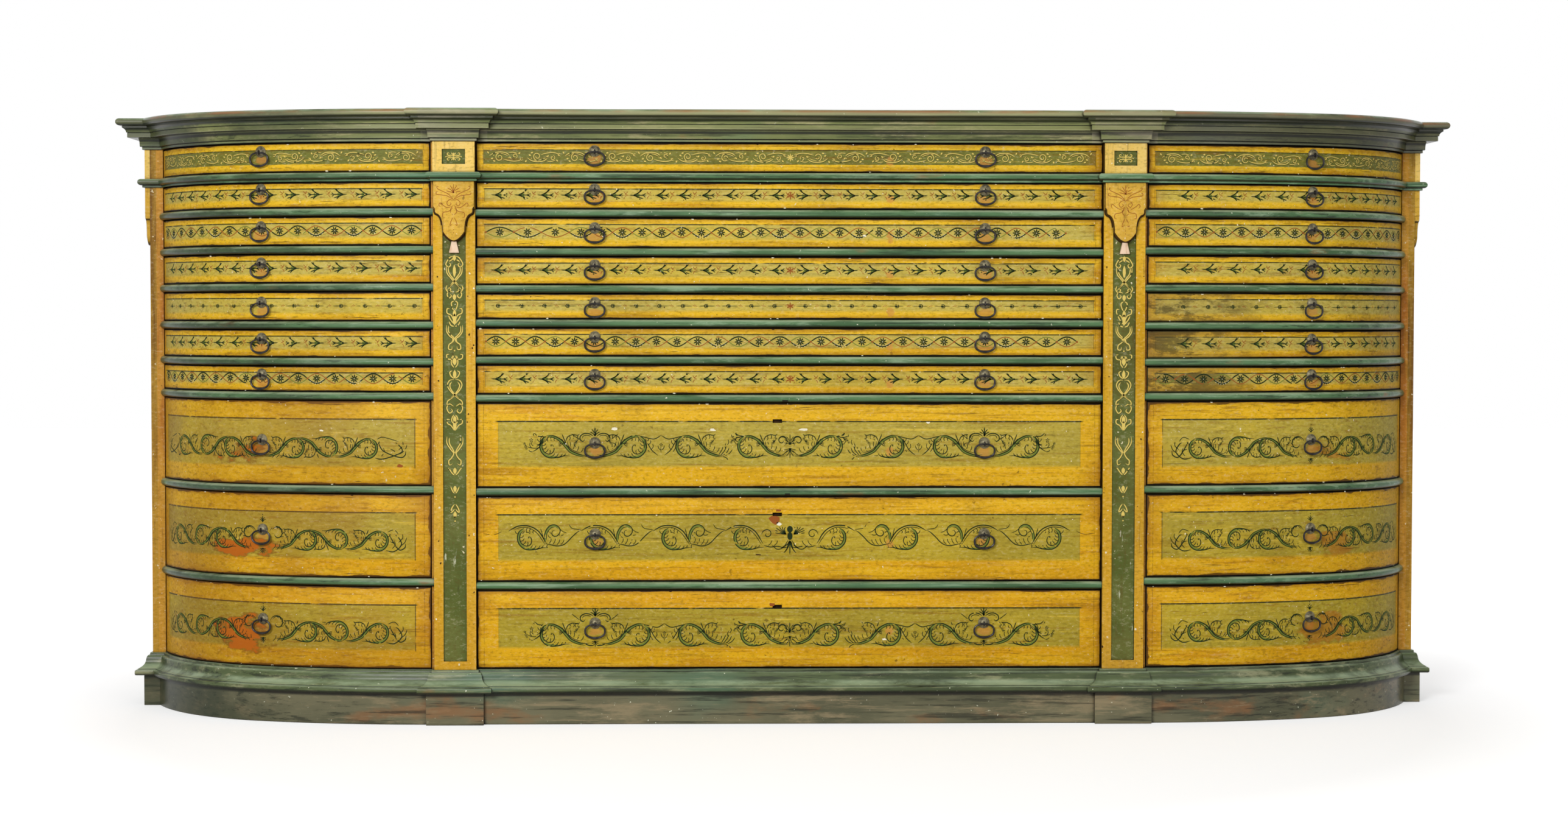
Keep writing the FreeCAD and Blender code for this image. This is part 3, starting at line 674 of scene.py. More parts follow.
def bow_path(start=0.0, end=BOW, step=8.0):
    count = round((end - start) / step)
    return [bow(start + (end - start) * i / count) for i in range(count + 1)]


def run_paths(relief):
    """Plan lines of a moulding: the centre, and on each side the wing, the two blocks and the end."""
    wing = straight(PIL_MIDDLE, WING - 0.5, 12.0) + bow_path()
    front, end = FACE - relief, CHEEK_OUT + relief
    front_block = mitred([(OUTER, FACE + 6), (OUTER, front), (HALF, front), (HALF, FACE + 6)])
    rear, fore = (CHEEK_OUT - 8, END_BACK), (CHEEK_IN - 4, END_FRONT)
    end_block = mitred([rear, (end, END_BACK), (end, END_FRONT), fore])
    side = mitred([(CHEEK_OUT, BACK), (CHEEK_OUT, END_BACK - 10)])
    right = [wing, front_block, end_block, side]
    return [straight(-PIL_MIDDLE, PIL_MIDDLE)] + right + [flip(path) for path in right]


def moulding(profile, z, relief, wobble=0.0):
    build = Build()
    for path in run_paths(relief):
        build.sweep(path, profile, z, wobble=wobble)
    return build


def plan_outline(inset):
    """The chest's own plan as one line."""
    right = [bow(BOW * i / 60, 1, -inset)[:2] for i in range(61)]
    right.append((CHEEK_OUT - inset, END_FRONT + inset))
    right.append((CHEEK_OUT - inset, BACK - inset))
    return right + [(-x, y) for x, y in reversed(right)]


CORNICE = [(-INSET, 0), (3.9, 0), (4.3, 0.4), (4.3, 4.8), (3.9, 5.2), (7.6, 5.7), (8.3, 6.4)]
CORNICE += curve((8.3, 6.4), (8.2, 17.0), (10.4, 21.8)) + [(27.9, 22.4), (28.6, 23.0), (28.6, 31.2)]
CORNICE += [(28.0, 31.8), (30.4, 32.3)] + curve((30.4, 32.3), (30.6, 38.4), (36.4, 40.8))
CORNICE += [(37.0, 41.2), (37.0, 45.2), (-INSET, 45.2)]
WAIST = [(-12, 0), (4.0, 0), (4.4, 0.4), (4.4, 3.9), (4.1, 4.3)]
WAIST += nose(12.6, 17.0, -5.6, low=4.3)[1:-1] + [(-12, 17.0)]
BASE = [(-INSET, 0), (28.4, 0), (30.2, 0.8), (31.0, 2.8), (31.0, 8.0), (30.3, 9.8), (28.6, 10.8)]
BASE += [(25.9, 11.1), (25.2, 11.7), (25.0, 13.0)] + curve((25.0, 13.0), (19.0, 16.0), (13.4, 20.0),
                                                           (12.3, 28.4), steps=8)
BASE += curve((12.3, 28.4), (11.8, 34.4), (9.3, 37.4), steps=4) + [(5.7, 38.0), (5.4, 38.5), (5.4, 42.1)]
BASE += [(5.0, 42.6), (-INSET, 42.6)]
PLINTH = [(-INSET, 0), (14.2, 0), (15, 0.8), (15, PLINTH_TOP), (-INSET, PLINTH_TOP)]
SLAB = nose(48.0, TOP - SLAB_FLOOR, INSET)
RUNS = {
    "cornice": (CORNICE, CORNICE_FLOOR, RELIEF, 0.12, "cornice", "green_paint"),
    "top": (SLAB, SLAB_FLOOR, RELIEF, 0.35, "top_board", "green_paint"),
    "waist": (WAIST, WAIST_FLOOR, RELIEF, 0.15, "waist_moulding", "green_paint"),
    "base": (BASE, PLINTH_TOP, SHAFT, 0.25, "base_moulding", "green_paint"),
    "plinth": (PLINTH, 0.0, SHAFT, 0.2, "plinth", "weathered_green_paint"),
}
LOOKS = {"top": "cornice", "waist": "rail"}
for part, (profile, z, relief, wobble, node, slot) in RUNS.items():
    build = moulding(profile, z, relief, wobble)
    if part == "top":
        build.prism(plan_outline(4.0), z + 0.1, TOP - 0.05)
    elif part != "waist":
        # The strip at the back stays clear of the plane of the mouldings' ends
        build.box((-CHEEK_OUT, CHEEK_OUT), (BACK - INSET, BACK - 0.2), (z, z + profile[-1][1]))
    build.make(f"{part}_dressed", "carcass", [MATERIALS[LOOKS.get(part, part)]], slot, [node])

rails = Build()
for place, rows in ROWS.items():
    for row in range(1, 10):
        top, z = rows[row - 1][0] - GAP, rows[row][1] + HEAD_GAP
        plain = [(-RAIL_DEPTH, 0), (0, 0), (0, top - z), (-RAIL_DEPTH, top - z)]
        profile = plain if row == 1 else nose(RAIL_NOSE, top - z, RAIL_DEPTH)
        if place == "centre":
            path = straight(-HALF, HALF, 12.0)
        else:
            path = straight(OUTER, WING - 0.5, 8.0) + bow_path(step=10.0)
            path = flip(path) if place == "left" else path
        rails.sweep(path, profile, z, wobble=0.0 if row == 1 else 0.3)
rails.make("rails_dressed", "carcass", [MATERIALS["rail"]], "green_paint", ["divider_rails"])


# Drawers


def centre_face(along, up, out):
    return along, FACE - out, up


def wing_face(side):
    def at(along, up, out):
        x, y, nx, ny = bow(along, side)
        return x + nx * out, y + ny * out, up

    return at


def front_board(build, at, span_along, span_up, cuts, pulls, pull_z, hole=None):
    """A drawer front with rounded arrises. cuts are the places of its stations between the ends."""
    (a0, a1), (z0, z1) = span_along, span_up
    rounding = 0.9
    bevel = [(0.0, -FRONT), (0.0, -rounding), (0.3 * rounding, -0.3 * rounding), (rounding, 0.0)]

    def stations(low, high, middle):
        near = [(low + inward, out) for inward, out in bevel]
        far = [(high - inward, out) for inward, out in reversed(bevel)]
        return near + [(value, 0.0) for value in middle] + far

    columns, levels = stations(a0, a1, cuts), stations(z0, z1, [hole[2], hole[3]] if hole else [])
    points = [at(a, z, min(out_a, out_z)) for a, out_a in columns for z, out_z in levels]
    across, faces = len(levels), []
    for i in range(len(columns) - 1):
        for j in range(across - 1):
            middle = ((columns[i][0] + columns[i + 1][0]) / 2, (levels[j][0] + levels[j + 1][0]) / 2)
            if hole and hole[0] < middle[0] < hole[1] and hole[2] < middle[1] < hole[3]:
                pocket = (i, j)
                continue
            faces.append((i * across + j, (i + 1) * across + j, (i + 1) * across + j + 1, i * across + j + 1))
        faces.append((i * across, i * across + across - 1, (i + 1) * across + across - 1, (i + 1) * across))
    first = build.add(points, faces)
    if hole:
        i, j = pocket
        rim = [i * across + j, (i + 1) * across + j, (i + 1) * across + j + 1, i * across + j + 1]
        mouth = [(columns[i][0], levels[j][0]), (columns[i + 1][0], levels[j][0])]
        mouth += [(columns[i + 1][0], levels[j + 1][0]), (columns[i][0], levels[j + 1][0])]
        floor = build.add([at(a, z, -POCKET_DEPTH) for a, z in mouth], [], 1)
        for k in range(4):
            n = (k + 1) % 4
            build.faces.append((first + rim[k], first + rim[n], floor + n, floor + k))
        build.faces.append(tuple(floor + k for k in range(4)))
        build.slots += [1] * 5
    for i, (a, _) in enumerate(columns):
        nearest = min(pulls, key=lambda spot: abs(a - spot))
        for j, (z, _) in enumerate(levels):
            index = first + i * across + j
            build.edge[index] = (min(a - a0, a1 - a) * MM, (z1 - z) * MM, (z - z0) * MM)
            build.pull[index] = ((a - nearest) * MM, (z - pull_z) * MM, 0.0)


def drawer_box(build, place, z0, z1):
    """Sides, back and bottom."""
    side_low, side_high = z0 - SIDE_DROP, z1 - SIDE_LOWER
    tray_low, rear = z0 + TRAY_LIFT, INSIDE_BACK - REAR_GAP
    if place == "centre":
        half, behind = HALF - GAP, FACE + FRONT
        for side in (-1, 1):
            xs = sorted((side * half, side * (half - SIDE)))
            build.box(xs, (behind, rear), (side_low, side_high), 2)
        build.box((SIDE - half, half - SIDE), (rear - SIDE, rear), (side_low, side_high), 2)
        build.box((SIDE - half, half - SIDE), (behind, rear - SIDE), (tray_low, tray_low + TRAY), 2)
        return
    side = SIDES[place]
    back_line = [bow(GAP + (BOW - 2 * GAP) * i / 24, 1, -FRONT)[:2] for i in range(25)]
    start, end = back_line[0], back_line[-1]
    near, far = start[0] + SIDE, end[0] - SIDE
    inner = [p for p in back_line if near <= p[0] <= far]

    def level(x):
        for p, q in zip(back_line, back_line[1:]):
            if p[0] <= x <= q[0]:
                return p[1] + (x - p[0]) / (q[0] - p[0]) * (q[1] - p[1])
        return end[1]

    long_side = [start, (near, level(near)), (near, rear), (start[0], rear)]
    short_side = [(far, level(far)), end, (end[0], rear), (far, rear)]
    back = [(near, rear - SIDE), (far, rear - SIDE), (far, rear), (near, rear)]
    tray = [(near, level(near))] + inner + [(far, level(far)), (far, rear - SIDE), (near, rear - SIDE)]
    for outline in (long_side, short_side, back):
        build.prism([(side * x, y) for x, y in outline], side_low, side_high, 2)
    build.prism([(side * x, y) for x, y in tray], tray_low, tray_low + TRAY, 2)


def pull_place(x, y, nx, ny, z):
    """A rigid place on a face: (across, up, out) to a point."""
    def at(across, up, out):
        return x - ny * across + nx * out, y + nx * across + ny * out, z + up

    return at


def lathe(build, at, outline, sides=28, slot=0):
    loops = []
    for i in range(sides):
        turn = 2 * math.pi * i / sides
        loops.append([at(r * math.cos(turn), r * math.sin(turn), h) for r, h in outline])
    count = len(outline)
    points, faces = [p for loop in loops for p in loop], []
    for i in range(sides):
        a, b = i * count, (i + 1) % sides * count
        faces += [(a + j, b + j, b + j + 1, a + j + 1) for j in range(count - 1)]
    faces.append(tuple(i * count for i in range(sides)))
    faces.append(tuple(i * count + count - 1 for i in range(sides)))
    build.add(points, faces, slot)


def tube(build, centres, radii, axes, sides=8, slot=0):
    """A closed ring of round wire through places. axes are two directions of its section at each place."""
    loops = []
    for centre, radius, (first, second) in zip(centres, radii, axes):
        loop = []
        for i in range(sides):
            turn = 2 * math.pi * i / sides
            c, s = radius * math.cos(turn), radius * math.sin(turn)
            loop.append(tuple(m + p * c + q * s for m, p, q in zip(centre, first, second)))
        loops.append(loop)
    build.add(*loft(loops, ring=True), slot)


ROSETTE = [(10.9, -0.6), (10.9, 1.0), (10.2, 1.9), (9.6, 1.9), (9.0, 2.6), (7.4, 3.9), (6.9, 4.5), (6.3, 4.5)]
ROSETTE += [(5.6, 5.2), (3.4, 5.9), (1.2, 6.2)]
EYE_RADIUS, EYE_WIRE = 3.3, 1.35


def toward(at, start, end):
    """From one place to another, given as (across, up, out)."""
    return tuple(q - p for p, q in zip(at(*start), at(*end)))


def rosette_and_eye(build, at):
    def above(across, up, out):
        return at(across, up + ROSETTE_LIFT, out)

    lathe(build, above, ROSETTE, slot=1)
    centres, axes = [], []
    for i in range(16):
        turn = 2 * math.pi * i / 16
        c, s = math.cos(turn), math.sin(turn)
        centre = (0, EYE_RADIUS * s, EYE_REACH + EYE_RADIUS * c)
        outward = (0, centre[1] + s, centre[2] + c)
        centres.append(at(*centre))
        axes.append((toward(at, centre, outward), toward(at, centre, (1, *centre[1:]))))
    tube(build, centres, [EYE_WIRE] * 16, axes)


def hanging_ring(build, at):
    """An oval ring of round wire, a little pinched where it hangs and thicker at its foot."""
    half_width, half_height, hang, wire = 19.3, 13.0, 13.0, 2.0
    centres, radii, axes = [], [], []
    count = 40
    for i in range(count):
        turn = 2 * math.pi * i / count
        c, s = math.cos(turn), math.sin(turn)
        pinch = 1.1 * math.exp(-((c / 0.16) ** 2)) if s > 0 else 0.0
        swell = 0.65 * math.exp(-((c / 0.3) ** 2)) if s < 0 else 0.0
        across = half_width * c * (1.0 - 0.03 * math.cos(4 * turn))
        up = half_height * s - hang - pinch
        size = math.hypot(half_height * c, half_width * s)
        centre = (across, up, EYE_REACH)
        outward = (across + half_height * c / size, up + half_width * s / size, EYE_REACH)
        centres.append(at(*centre))
        radii.append(wire + swell - 0.3 * max(s, 0))
        axes.append((toward(at, centre, outward), toward(at, centre, (across, up, EYE_REACH + 1))))
    tube(build, centres, radii, axes)


DEEP_ROWS, SOOTY_ROWS = (7, 8, 9), (4, 5, 6)


def kind_of(place, row):
    if row == 0:
        return "band"
    if row in DEEP_ROWS:
        return "deep" if place == "centre" else f"deep_{place}"
    return "sooty" if place == "right" and row in SOOTY_ROWS else "shallow"


def make_drawer(place, row, z0, z1):
    """One drawer with its pulls. Rings that swing are objects of their own."""
    name, centre = f"drawer_{place}_row{row + 1}", place == "centre"
    pull_z = z0 + PULL_SHARES[row] * (z1 - z0)
    build, iron_work = Build(), Build()
    if centre:
        hole = None
        if row in DEEP_ROWS:
            middle = z0 + POCKET_SHARE * (z1 - z0)
            hole = (*POCKET, middle - POCKET_HEIGHT / 2, middle + POCKET_HEIGHT / 2)
        cuts = [-PULL_SPREAD, -250.0] + (list(POCKET) if hole else []) + [0.0, 250.0, PULL_SPREAD]
        spots = [pull_place(s * PULL_SPREAD, FACE, 0.0, -1.0, pull_z) for s in (-1, 1)]
        span_along, pulls = (GAP - HALF, HALF - GAP), (-PULL_SPREAD, PULL_SPREAD)
        front_board(build, centre_face, span_along, (z0, z1), cuts, pulls, pull_z, hole)
    else:
        side = SIDES[place]
        cuts = [GAP + (BOW - 2 * GAP) * i / 64 for i in range(1, 64)]
        spots = [pull_place(*bow(GENTLE, side), pull_z)]
        front_board(build, wing_face(side), (GAP, BOW - GAP), (z0, z1), cuts, (GENTLE,), pull_z)
    drawer_box(build, place, z0, z1)
    looks = [FRONTS[kind_of(place, row)], MATERIALS["hole"], MATERIALS["side"]]
    build.make(f"{name}_dressed", name, looks, "yellow_paint", [name])
    for at in spots:
        rosette_and_eye(iron_work, at)
    swinging = centre or row in DEEP_ROWS
    loose = Build() if swinging else iron_work
    for at in spots:
        hanging_ring(loose, at)
    if swinging:
        ring_name = f"ring_pair_row{row + 1}" if centre else f"ring_{place}_row{row + 1}"
        loose.make(f"{ring_name}_dressed", ring_name, [MATERIALS["iron"]], "dark_iron", [ring_name])
    iron_work.make(f"{name}_pulls", name, [MATERIALS["iron"], MATERIALS["rosette"]], "dark_iron")


for place, rows in ROWS.items():
    for row, (z0, z1) in enumerate(rows):
        make_drawer(place, row, z0, z1)


# Pilasters


def front_pilaster(side):
    """(across, up, out from the drawer faces) on a front pilaster."""
    def at(across, up, out):
        return side * (PIL_MIDDLE + across), FACE - out, up

    return at


def end_pilaster(side):
    def at(across, up, out):
        return side * (CHEEK_OUT + out), (END_FRONT + END_BACK) / 2 + across, up

    return at


PILASTERS = [front_pilaster(-1), front_pilaster(1), end_pilaster(-1), end_pilaster(1)]


def offset_inwards(outline, amount):
    moved = []
    for i, (x, y) in enumerate(outline):
        (ax, ay), (bx, by) = outline[i - 1], outline[(i + 1) % len(outline)]
        before, after = math.hypot(x - ax, y - ay), math.hypot(bx - x, by - y)
        n1 = ((ay - y) / before, (x - ax) / before)
        n2 = ((y - by) / after, (bx - x) / after)
        share = amount / max(1 + n1[0] * n2[0] + n1[1] * n2[1], 0.4)
        moved.append((x + (n1[0] + n2[0]) * share, y + (n1[1] + n2[1]) * share))
    return moved


def plate(build, at, outline, out_low, out_high, rounding=0.7, slot=0):
    """A flat piece laid on a pilaster, its outline anticlockwise as seen from the front."""
    levels = [(out_low, 0.0), (out_high - rounding, 0.0)]
    levels += [(out_high - 0.3 * rounding, 0.3 * rounding), (out_high, rounding)]
    loops = []
    for out, inset in levels:
        loops.append([at(x, z, out) for x, z in (offset_inwards(outline, inset) if inset else outline)])
    build.add(*loft(loops), slot)


def apron_outline():
    half = PILASTER / 2 - 1.2
    shoulder, neck, drop = 0.95 * half, 0.56 * half, APRON_DROP
    corner, elbow, foot = (shoulder, 0.5 * drop), (0.8 * half, 0.556 * drop), (neck, 0.84 * drop)
    right = [(half, 0.0), (half, 0.43 * drop), (half - 0.8, 0.45 * drop), (shoulder, 0.462 * drop)]
    right += [corner] + curve(corner, (shoulder - 0.4, 0.545 * drop), elbow, steps=5)
    right += curve(elbow, (0.6 * half, 0.6 * drop), (neck + 0.4, 0.71 * drop), foot, steps=10)
    right += curve(foot, (0.5 * neck, 0.99 * drop), (0.0, drop), steps=8)
    left = [(-x, d) for x, d in reversed(right[:-1])]
    return [(x, WAIST_FLOOR - d) for x, d in right + left]


APRON = list(reversed(apron_outline()))
PANEL_TOP = WAIST_FLOOR - APRON_DROP
HALF_TASSEL = [(4.5, 0.0), (9.2, 20.4), (8.6, 21.5)]
TASSEL = [(-x, PANEL_TOP - d) for x, d in HALF_TASSEL]
TASSEL += [(x, PANEL_TOP - d) for x, d in reversed(HALF_TASSEL)]
aprons = Build()
for at in PILASTERS:
    plate(aprons, at, APRON, SHAFT, RELIEF)
    plate(aprons, at, TASSEL, SHAFT - SUNK, SHAFT - SUNK + 8.0, slot=1)
looks = [MATERIALS["apron"], MATERIALS["tassel"]]
aprons.make("aprons_dressed", "carcass", looks, "yellow_paint", ["aprons"])

CARRIED = {
    "front_pilasters": "shaft",
    "end_pilasters": "end_shaft",
    "frieze_blocks": "frieze",
    "cheeks": "cheek",
    "back_panel": "wood",
    "bottom_board": "wood",
    "drawer_runners": "wood",
}
for node, material in CARRIED.items():
    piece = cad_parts[node]
    piece.data.materials.clear()
    piece.data.materials.append(MATERIALS[material])
    bevel = piece.modifiers.new("arrises", "BEVEL")
    bevel.width, bevel.segments = 0.0006, 2
    bevel.limit_method, bevel.angle_limit = "ANGLE", math.radians(40)


# Painted ornament

INK, CREAM, RUST, PALE, FADED, CRACK_AND_SHADOW, SHADE = range(7)
# The crack colour also draws the painted shadow round the aprons
STROKES = {
    "ink": (34, 46, 24),
    "cream": (222, 196, 104),
    "rust": (150, 84, 38),
    "pale_chip": (238, 230, 204),
    "faded_ink": (112, 124, 50),
    "crack": (62, 40, 18),
    "shade": (70, 72, 34),
}
LEVELS = {CREAM: 0.24, SHADE: 0.06, FADED: 0.08}
WEIGHT, WIDE = 1.35, 1.35
PAINTS = [Paint(label, tone, rough=0.6, specular=0.06).done() for label, tone in STROKES.items()]


def spline(points, per=5):
    """A smooth line through the points."""
    reach = [points[0]] + list(points) + [points[-1]]
    found = []
    for corners in zip(reach, reach[1:], reach[2:], reach[3:]):
        for k in range(per):
            t = k / per
            found.append(tuple(
                0.5 * (2 * q + (r - p) * t + (2 * p - 5 * q + 4 * r - s) * t * t
                       + (3 * q - p - 3 * r + s) * t ** 3)
                for p, q, r, s in zip(*corners)
            ))
    return found + [points[-1]]


def coil(x, y, radius, start, sweep, end=0.2, steps=20):
    """Points of a spiral that winds inwards. Angles are in degrees, anticlockwise."""
    found = []
    for i in range(steps + 1):
        t = i / steps
        angle, r = math.radians(start + sweep * t), radius * (1 - (1 - end) * t ** 1.2)
        found.append((x + r * math.cos(angle), y + r * math.sin(angle)))
    return found


class Pen:
    """Draws thin strokes of paint on a face. place(x, y, out) gives a point in space."""

    def __init__(self, place, worn=0.25, build=None, size=1.0):
        self.place, self.worn, self.size = place, worn, size
        self.build = build or Build()

    def moved(self, x, y, size=1.0, mirror=1, flip=1):
        """The same pen with an origin and a scale of its own."""
        place = self.place

        def inner(a, b, out):
            return place(x + mirror * size * a, y + flip * size * b, out)

        return Pen(inner, self.worn, self.build, self.size * size)

    def sides(self, x=0.0, y=0.0):
        """The same pen on either side of a place, left first."""
        return [self.moved(x, y, 1.0, side) for side in (-1, 1)]

    def stroke(self, points, width, slot=INK, thin=(0.25, 0.25), smooth=True):
        line = spline(points) if smooth else points
        total, pieces = len(line) - 1, [(0, line)]
        if total > 8 and rng.random() < self.worn:
            cut = rng.randrange(3, total - 3)
            pieces = [(0, line[:cut]), (cut + 1, line[cut + 1:])]
        for first, piece in pieces:
            loops = []
            for i, (x, y) in enumerate(piece):
                t = (first + i) / total
                half = WEIGHT * width / 2 / self.size * min(1.0, thin[0] + 5 * t, thin[1] + 4 * (1 - t))
                (ax, ay), (bx, by) = piece[max(i - 1, 0)], piece[min(i + 1, len(piece) - 1)]
                length = math.hypot(bx - ax, by - ay) or 1.0
                nx, ny = (ay - by) / length * half, (bx - ax) / length * half
                level = LEVELS.get(slot, 0.12)
                sides = ((1, -0.3), (1, level), (-1, level), (-1, -0.3))
                loops.append([self.place(x + k * nx, y + k * ny, out) for k, out in sides])
            self.build.add(*loft(loops), slot)

    def patch(self, rim, slot, out=0.0):
        out = out or LEVELS.get(slot, 0.15) + 0.03
        self.build.add(*loft([[self.place(x, y, height) for x, y in rim] for height in (-0.3, out)]), slot)

    def disc(self, x, y, radius, slot=INK, squash=1.0, sides=8):
        r = radius / self.size
        turns = [2 * math.pi * i / sides for i in range(sides)]
        self.patch([(x + r * math.cos(t), y + r * squash * math.sin(t)) for t in turns], slot)

    def petal(self, x, y, angle, length, width, slot=INK):
        """A pointed leaf that starts here."""
        c, s = math.cos(math.radians(angle)), math.sin(math.radians(angle))
        half = [(0.0, 0.12), (0.3, 0.85), (0.6, 1.0), (0.85, 0.6), (1.0, 0.0)]
        outline = half + [(a, -b) for a, b in reversed(half[:-1])]
        places = [(a * length / self.size, b * WIDE * width / 2 / self.size) for a, b in outline]
        self.patch([(x + c * a - s * b, y + s * a + c * b) for a, b in places], slot)

    def chip(self, x, y, size, slot, squash=0.5):
        rim = []
        for i in range(9):
            turn, r = 2 * math.pi * i / 9, size * rng.uniform(0.45, 1.0) / self.size
            rim.append((x + r * math.cos(turn), y + r * squash * math.sin(turn)))
        self.patch(rim, slot, 0.16)

    def crack(self, x0, x1, y, width=0.6, drift=1.2):
        count = max(3, round(abs(x1 - x0) / 9))
        line = [(x0 + (x1 - x0) * i / count, y + rng.uniform(-drift, drift) * 0.5) for i in range(count + 1)]
        self.stroke(line, width, CRACK_AND_SHADOW, smooth=False)


def palmette(pen, x, y, size, up=1, slot=INK, rays=3, width=1.2):
    own = pen.moved(x, y, size, 1, up)
    own.stroke([(0, 0), (0, 0.5), (0, 1.0)], width, slot)
    for half in own.sides():
        for k in range(1, rays + 1):
            lean, reach = math.radians(24 * k), 1.0 - 0.13 * k
            tip = (math.sin(lean) * reach, math.cos(lean) * reach)
            half.stroke([(0, 0.02), (tip[0] * 0.35, tip[1] * 0.6), tip], width * 0.85, slot)


def blossom(pen, x, y, radius=2.6, slot=INK):
    for k in range(5):
        turn = math.radians(72 * k + 18)
        pen.disc(x + radius * math.cos(turn), y + radius * math.sin(turn), radius * 0.44 * pen.size, slot,
                 sides=6)
    pen.disc(x, y, radius * 0.36 * pen.size, slot, sides=6)


LEAF = 0.285


def strokes(pen, width, *lines, slot=INK):
    for line in lines:
        pen.stroke(line, width, slot)


def crescent(own):
    """The leafy C at the head of a scroll, with its knob and the leaf that runs out below it."""
    strokes(own, 3.2, [(-8, 60), (-36, 34), (-42, -6), (-30, -44), (-4, -66), (30, -74), (70, -72)],
            slot=FADED)
    strokes(own, 1.5, [(-5, 66), (-38, 42), (-50, 0), (-40, -40), (-10, -70), (25, -80), (75, -76),
                       (115, -66), (150, -67)])
    strokes(own, 1.3,
            [(0, 54), (-28, 28), (-35, -8), (-20, -40), (10, -55), (35, -45), (45, -20), (36, 4), (20, 8)])
    own.disc(25, 1, 1.3)
    strokes(own, 1.0, [(-34, 20), (-14, 30), (-2, 46)], [(-36, 0), (-18, 4), (-8, 18)],
            [(-31, -22), (-14, -18), (-4, -4)], [(-14, -44), (0, -34), (6, -20)],
            [(14, -54), (20, -40), (18, -26)], [(20, -74), (40, -64), (50, -48)],
            [(46, -77), (64, -67), (74, -50)], [(72, -76), (90, -68), (100, -52)],
            [(100, -70), (114, -62), (122, -50)], [(-46, 24), (-60, 34), (-66, 48)])


def acanthus(pen, x, y, scale=1.0, mirror=1, flip=1, tail=True):
    """A leafy scroll: a C under the crest of a stem that runs down past it to a tuft of leaves."""
    own = pen.moved(x, y, LEAF * scale, mirror, flip)
    crescent(own)
    strokes(own, 2.8, [(0, 62), (35, 62), (72, 46), (102, 22), (126, -8), (152, -36), (192, -56), (235, -66)],
            slot=FADED)
    strokes(own, 1.6, [(-5, 68), (35, 68), (75, 52), (105, 30), (130, 0), (155, -30), (195, -50), (235, -62),
                       (278, -60)])
    strokes(own, 1.1, [(-5, 56), (30, 57), (65, 42), (95, 18), (120, -12), (148, -42), (190, -62), (235, -72),
                       (270, -70)])
    strokes(own, 1.0, [(10, 62), (0, 44), (5, 26)], [(30, 62), (21, 48), (26, 32)],
            [(50, 56), (44, 44), (49, 32)], [(112, 22), (98, 12), (84, 16)], [(98, 12), (92, 4), (84, 2)],
            [(135, 30), (138, 2), (158, -22), (190, -38), (226, -46)], [(150, -6), (154, 12), (150, 28)],
            [(172, -22), (178, -4), (176, 14)], [(196, -34), (206, -18), (208, -2)],
            [(222, -42), (234, -28), (238, -12)])
    strokes(own, 1.3, [(128, 6), (112, 42), (98, 78)],
            [(122, 30), (136, 60), (168, 74), (200, 70), (214, 79)])
    strokes(own, 1.0, [(118, 4), (104, 30), (94, 46)], [(146, 68), (152, 50), (143, 36)],
            [(172, 72), (176, 58), (170, 46)], [(172, 18), (190, 24), (206, 46)],
            [(206, 46), (198, 58), (206, 66)])
    for u, v, size in ((82, 17, 6.5), (81, 2, 5), (192, 30, 6.5), (186, 16, 5.5), (208, 48, 5)):
        blossom(own, u, v, size)
    if tail:
        strokes(own, 1.2, [(265, -62), (290, -42), (304, -12)], [(278, -66), (306, -50), (326, -24)],
                [(250, -60), (272, -34), (286, -4)], [(262, -70), (285, -80), (297, -94)],
                [(236, -58), (254, -30), (264, -6)])
        strokes(own, 1.0, [(282, -20), (276, 0), (284, 18)], [(292, 6), (302, 24), (296, 42)])


def spray(pen, x, y, mirror=1):
    """Tendrils with small flowers that leave the crest of a scroll on its outer side."""
    own = pen.moved(x, y, LEAF, mirror)
    strokes(own, 1.2, [(-10, 64), (-44, 70), (-68, 86)], [(-16, 62), (-48, 56), (-78, 38)],
            [(-30, 57), (-62, 56), (-88, 66)])
    strokes(own, 1.0, [(-92, 76), (-86, 56), (-66, 46)], [(-50, 66), (-62, 76), (-60, 88)],
            [(-78, 38), (-90, 34), (-96, 22)], [(-60, 46), (-70, 30), (-62, 14)])
    for u, v, size in ((-80, 36, 6), (-92, 22, 5), (-58, 12, 5)):
        blossom(own, u, v, size)


def meeting(pen, reach):
    """Where two scrolls meet: leaves to either side of a flower."""
    for half in pen.sides():
        strokes(half, 1.3, [(reach - 12, 14), (reach - 18, 2), (reach - 25, -9), (6, -18)],
                [(0, 20), (reach * 0.3, 13), (reach * 0.62, 15), (reach, 19)])
        strokes(half, 1.0, [(reach - 10, 10), (reach - 15, -4), (reach - 20, -12)],
                [(reach - 18, 2), (reach - 22, 6), (reach - 22, 11)],
                [(reach - 23, -7), (reach - 27, -2), (reach - 26, 4)], [(1, -8), (5, -4), (6, 1)])
    blossom(pen, 0, 2, 2.4)
    pen.stroke([(0, -1), (0.5, -6), (0, -13)], 0.8)


def tuft(own):
    """The leaves and flowers that end a row of scrolls."""
    strokes(own, 1.3, [(10, 58), (42, 62), (66, 66), (84, 84)], [(24, 60), (36, 24), (56, -12), (98, -40)])
    strokes(own, 1.0, [(30, 44), (50, 10), (74, -4)], [(28, 70), (44, 50), (48, 30)],
            [(56, -12), (76, -16), (104, -14), (134, -6)], [(104, -14), (116, 4), (112, 24)],
            [(92, 0), (104, 10), (100, 30)], [(134, -6), (146, 6), (150, 18)],
            [(98, -40), (112, -38), (124, -28)], [(40, 16), (60, 8), (70, 12)],
            [(84, 84), (92, 76), (88, 66)])
    for u, v, size in ((106, 38, 9), (144, -4, 7), (152, 16, 6), (138, -18, 6)):
        blossom(own, u, v, size)


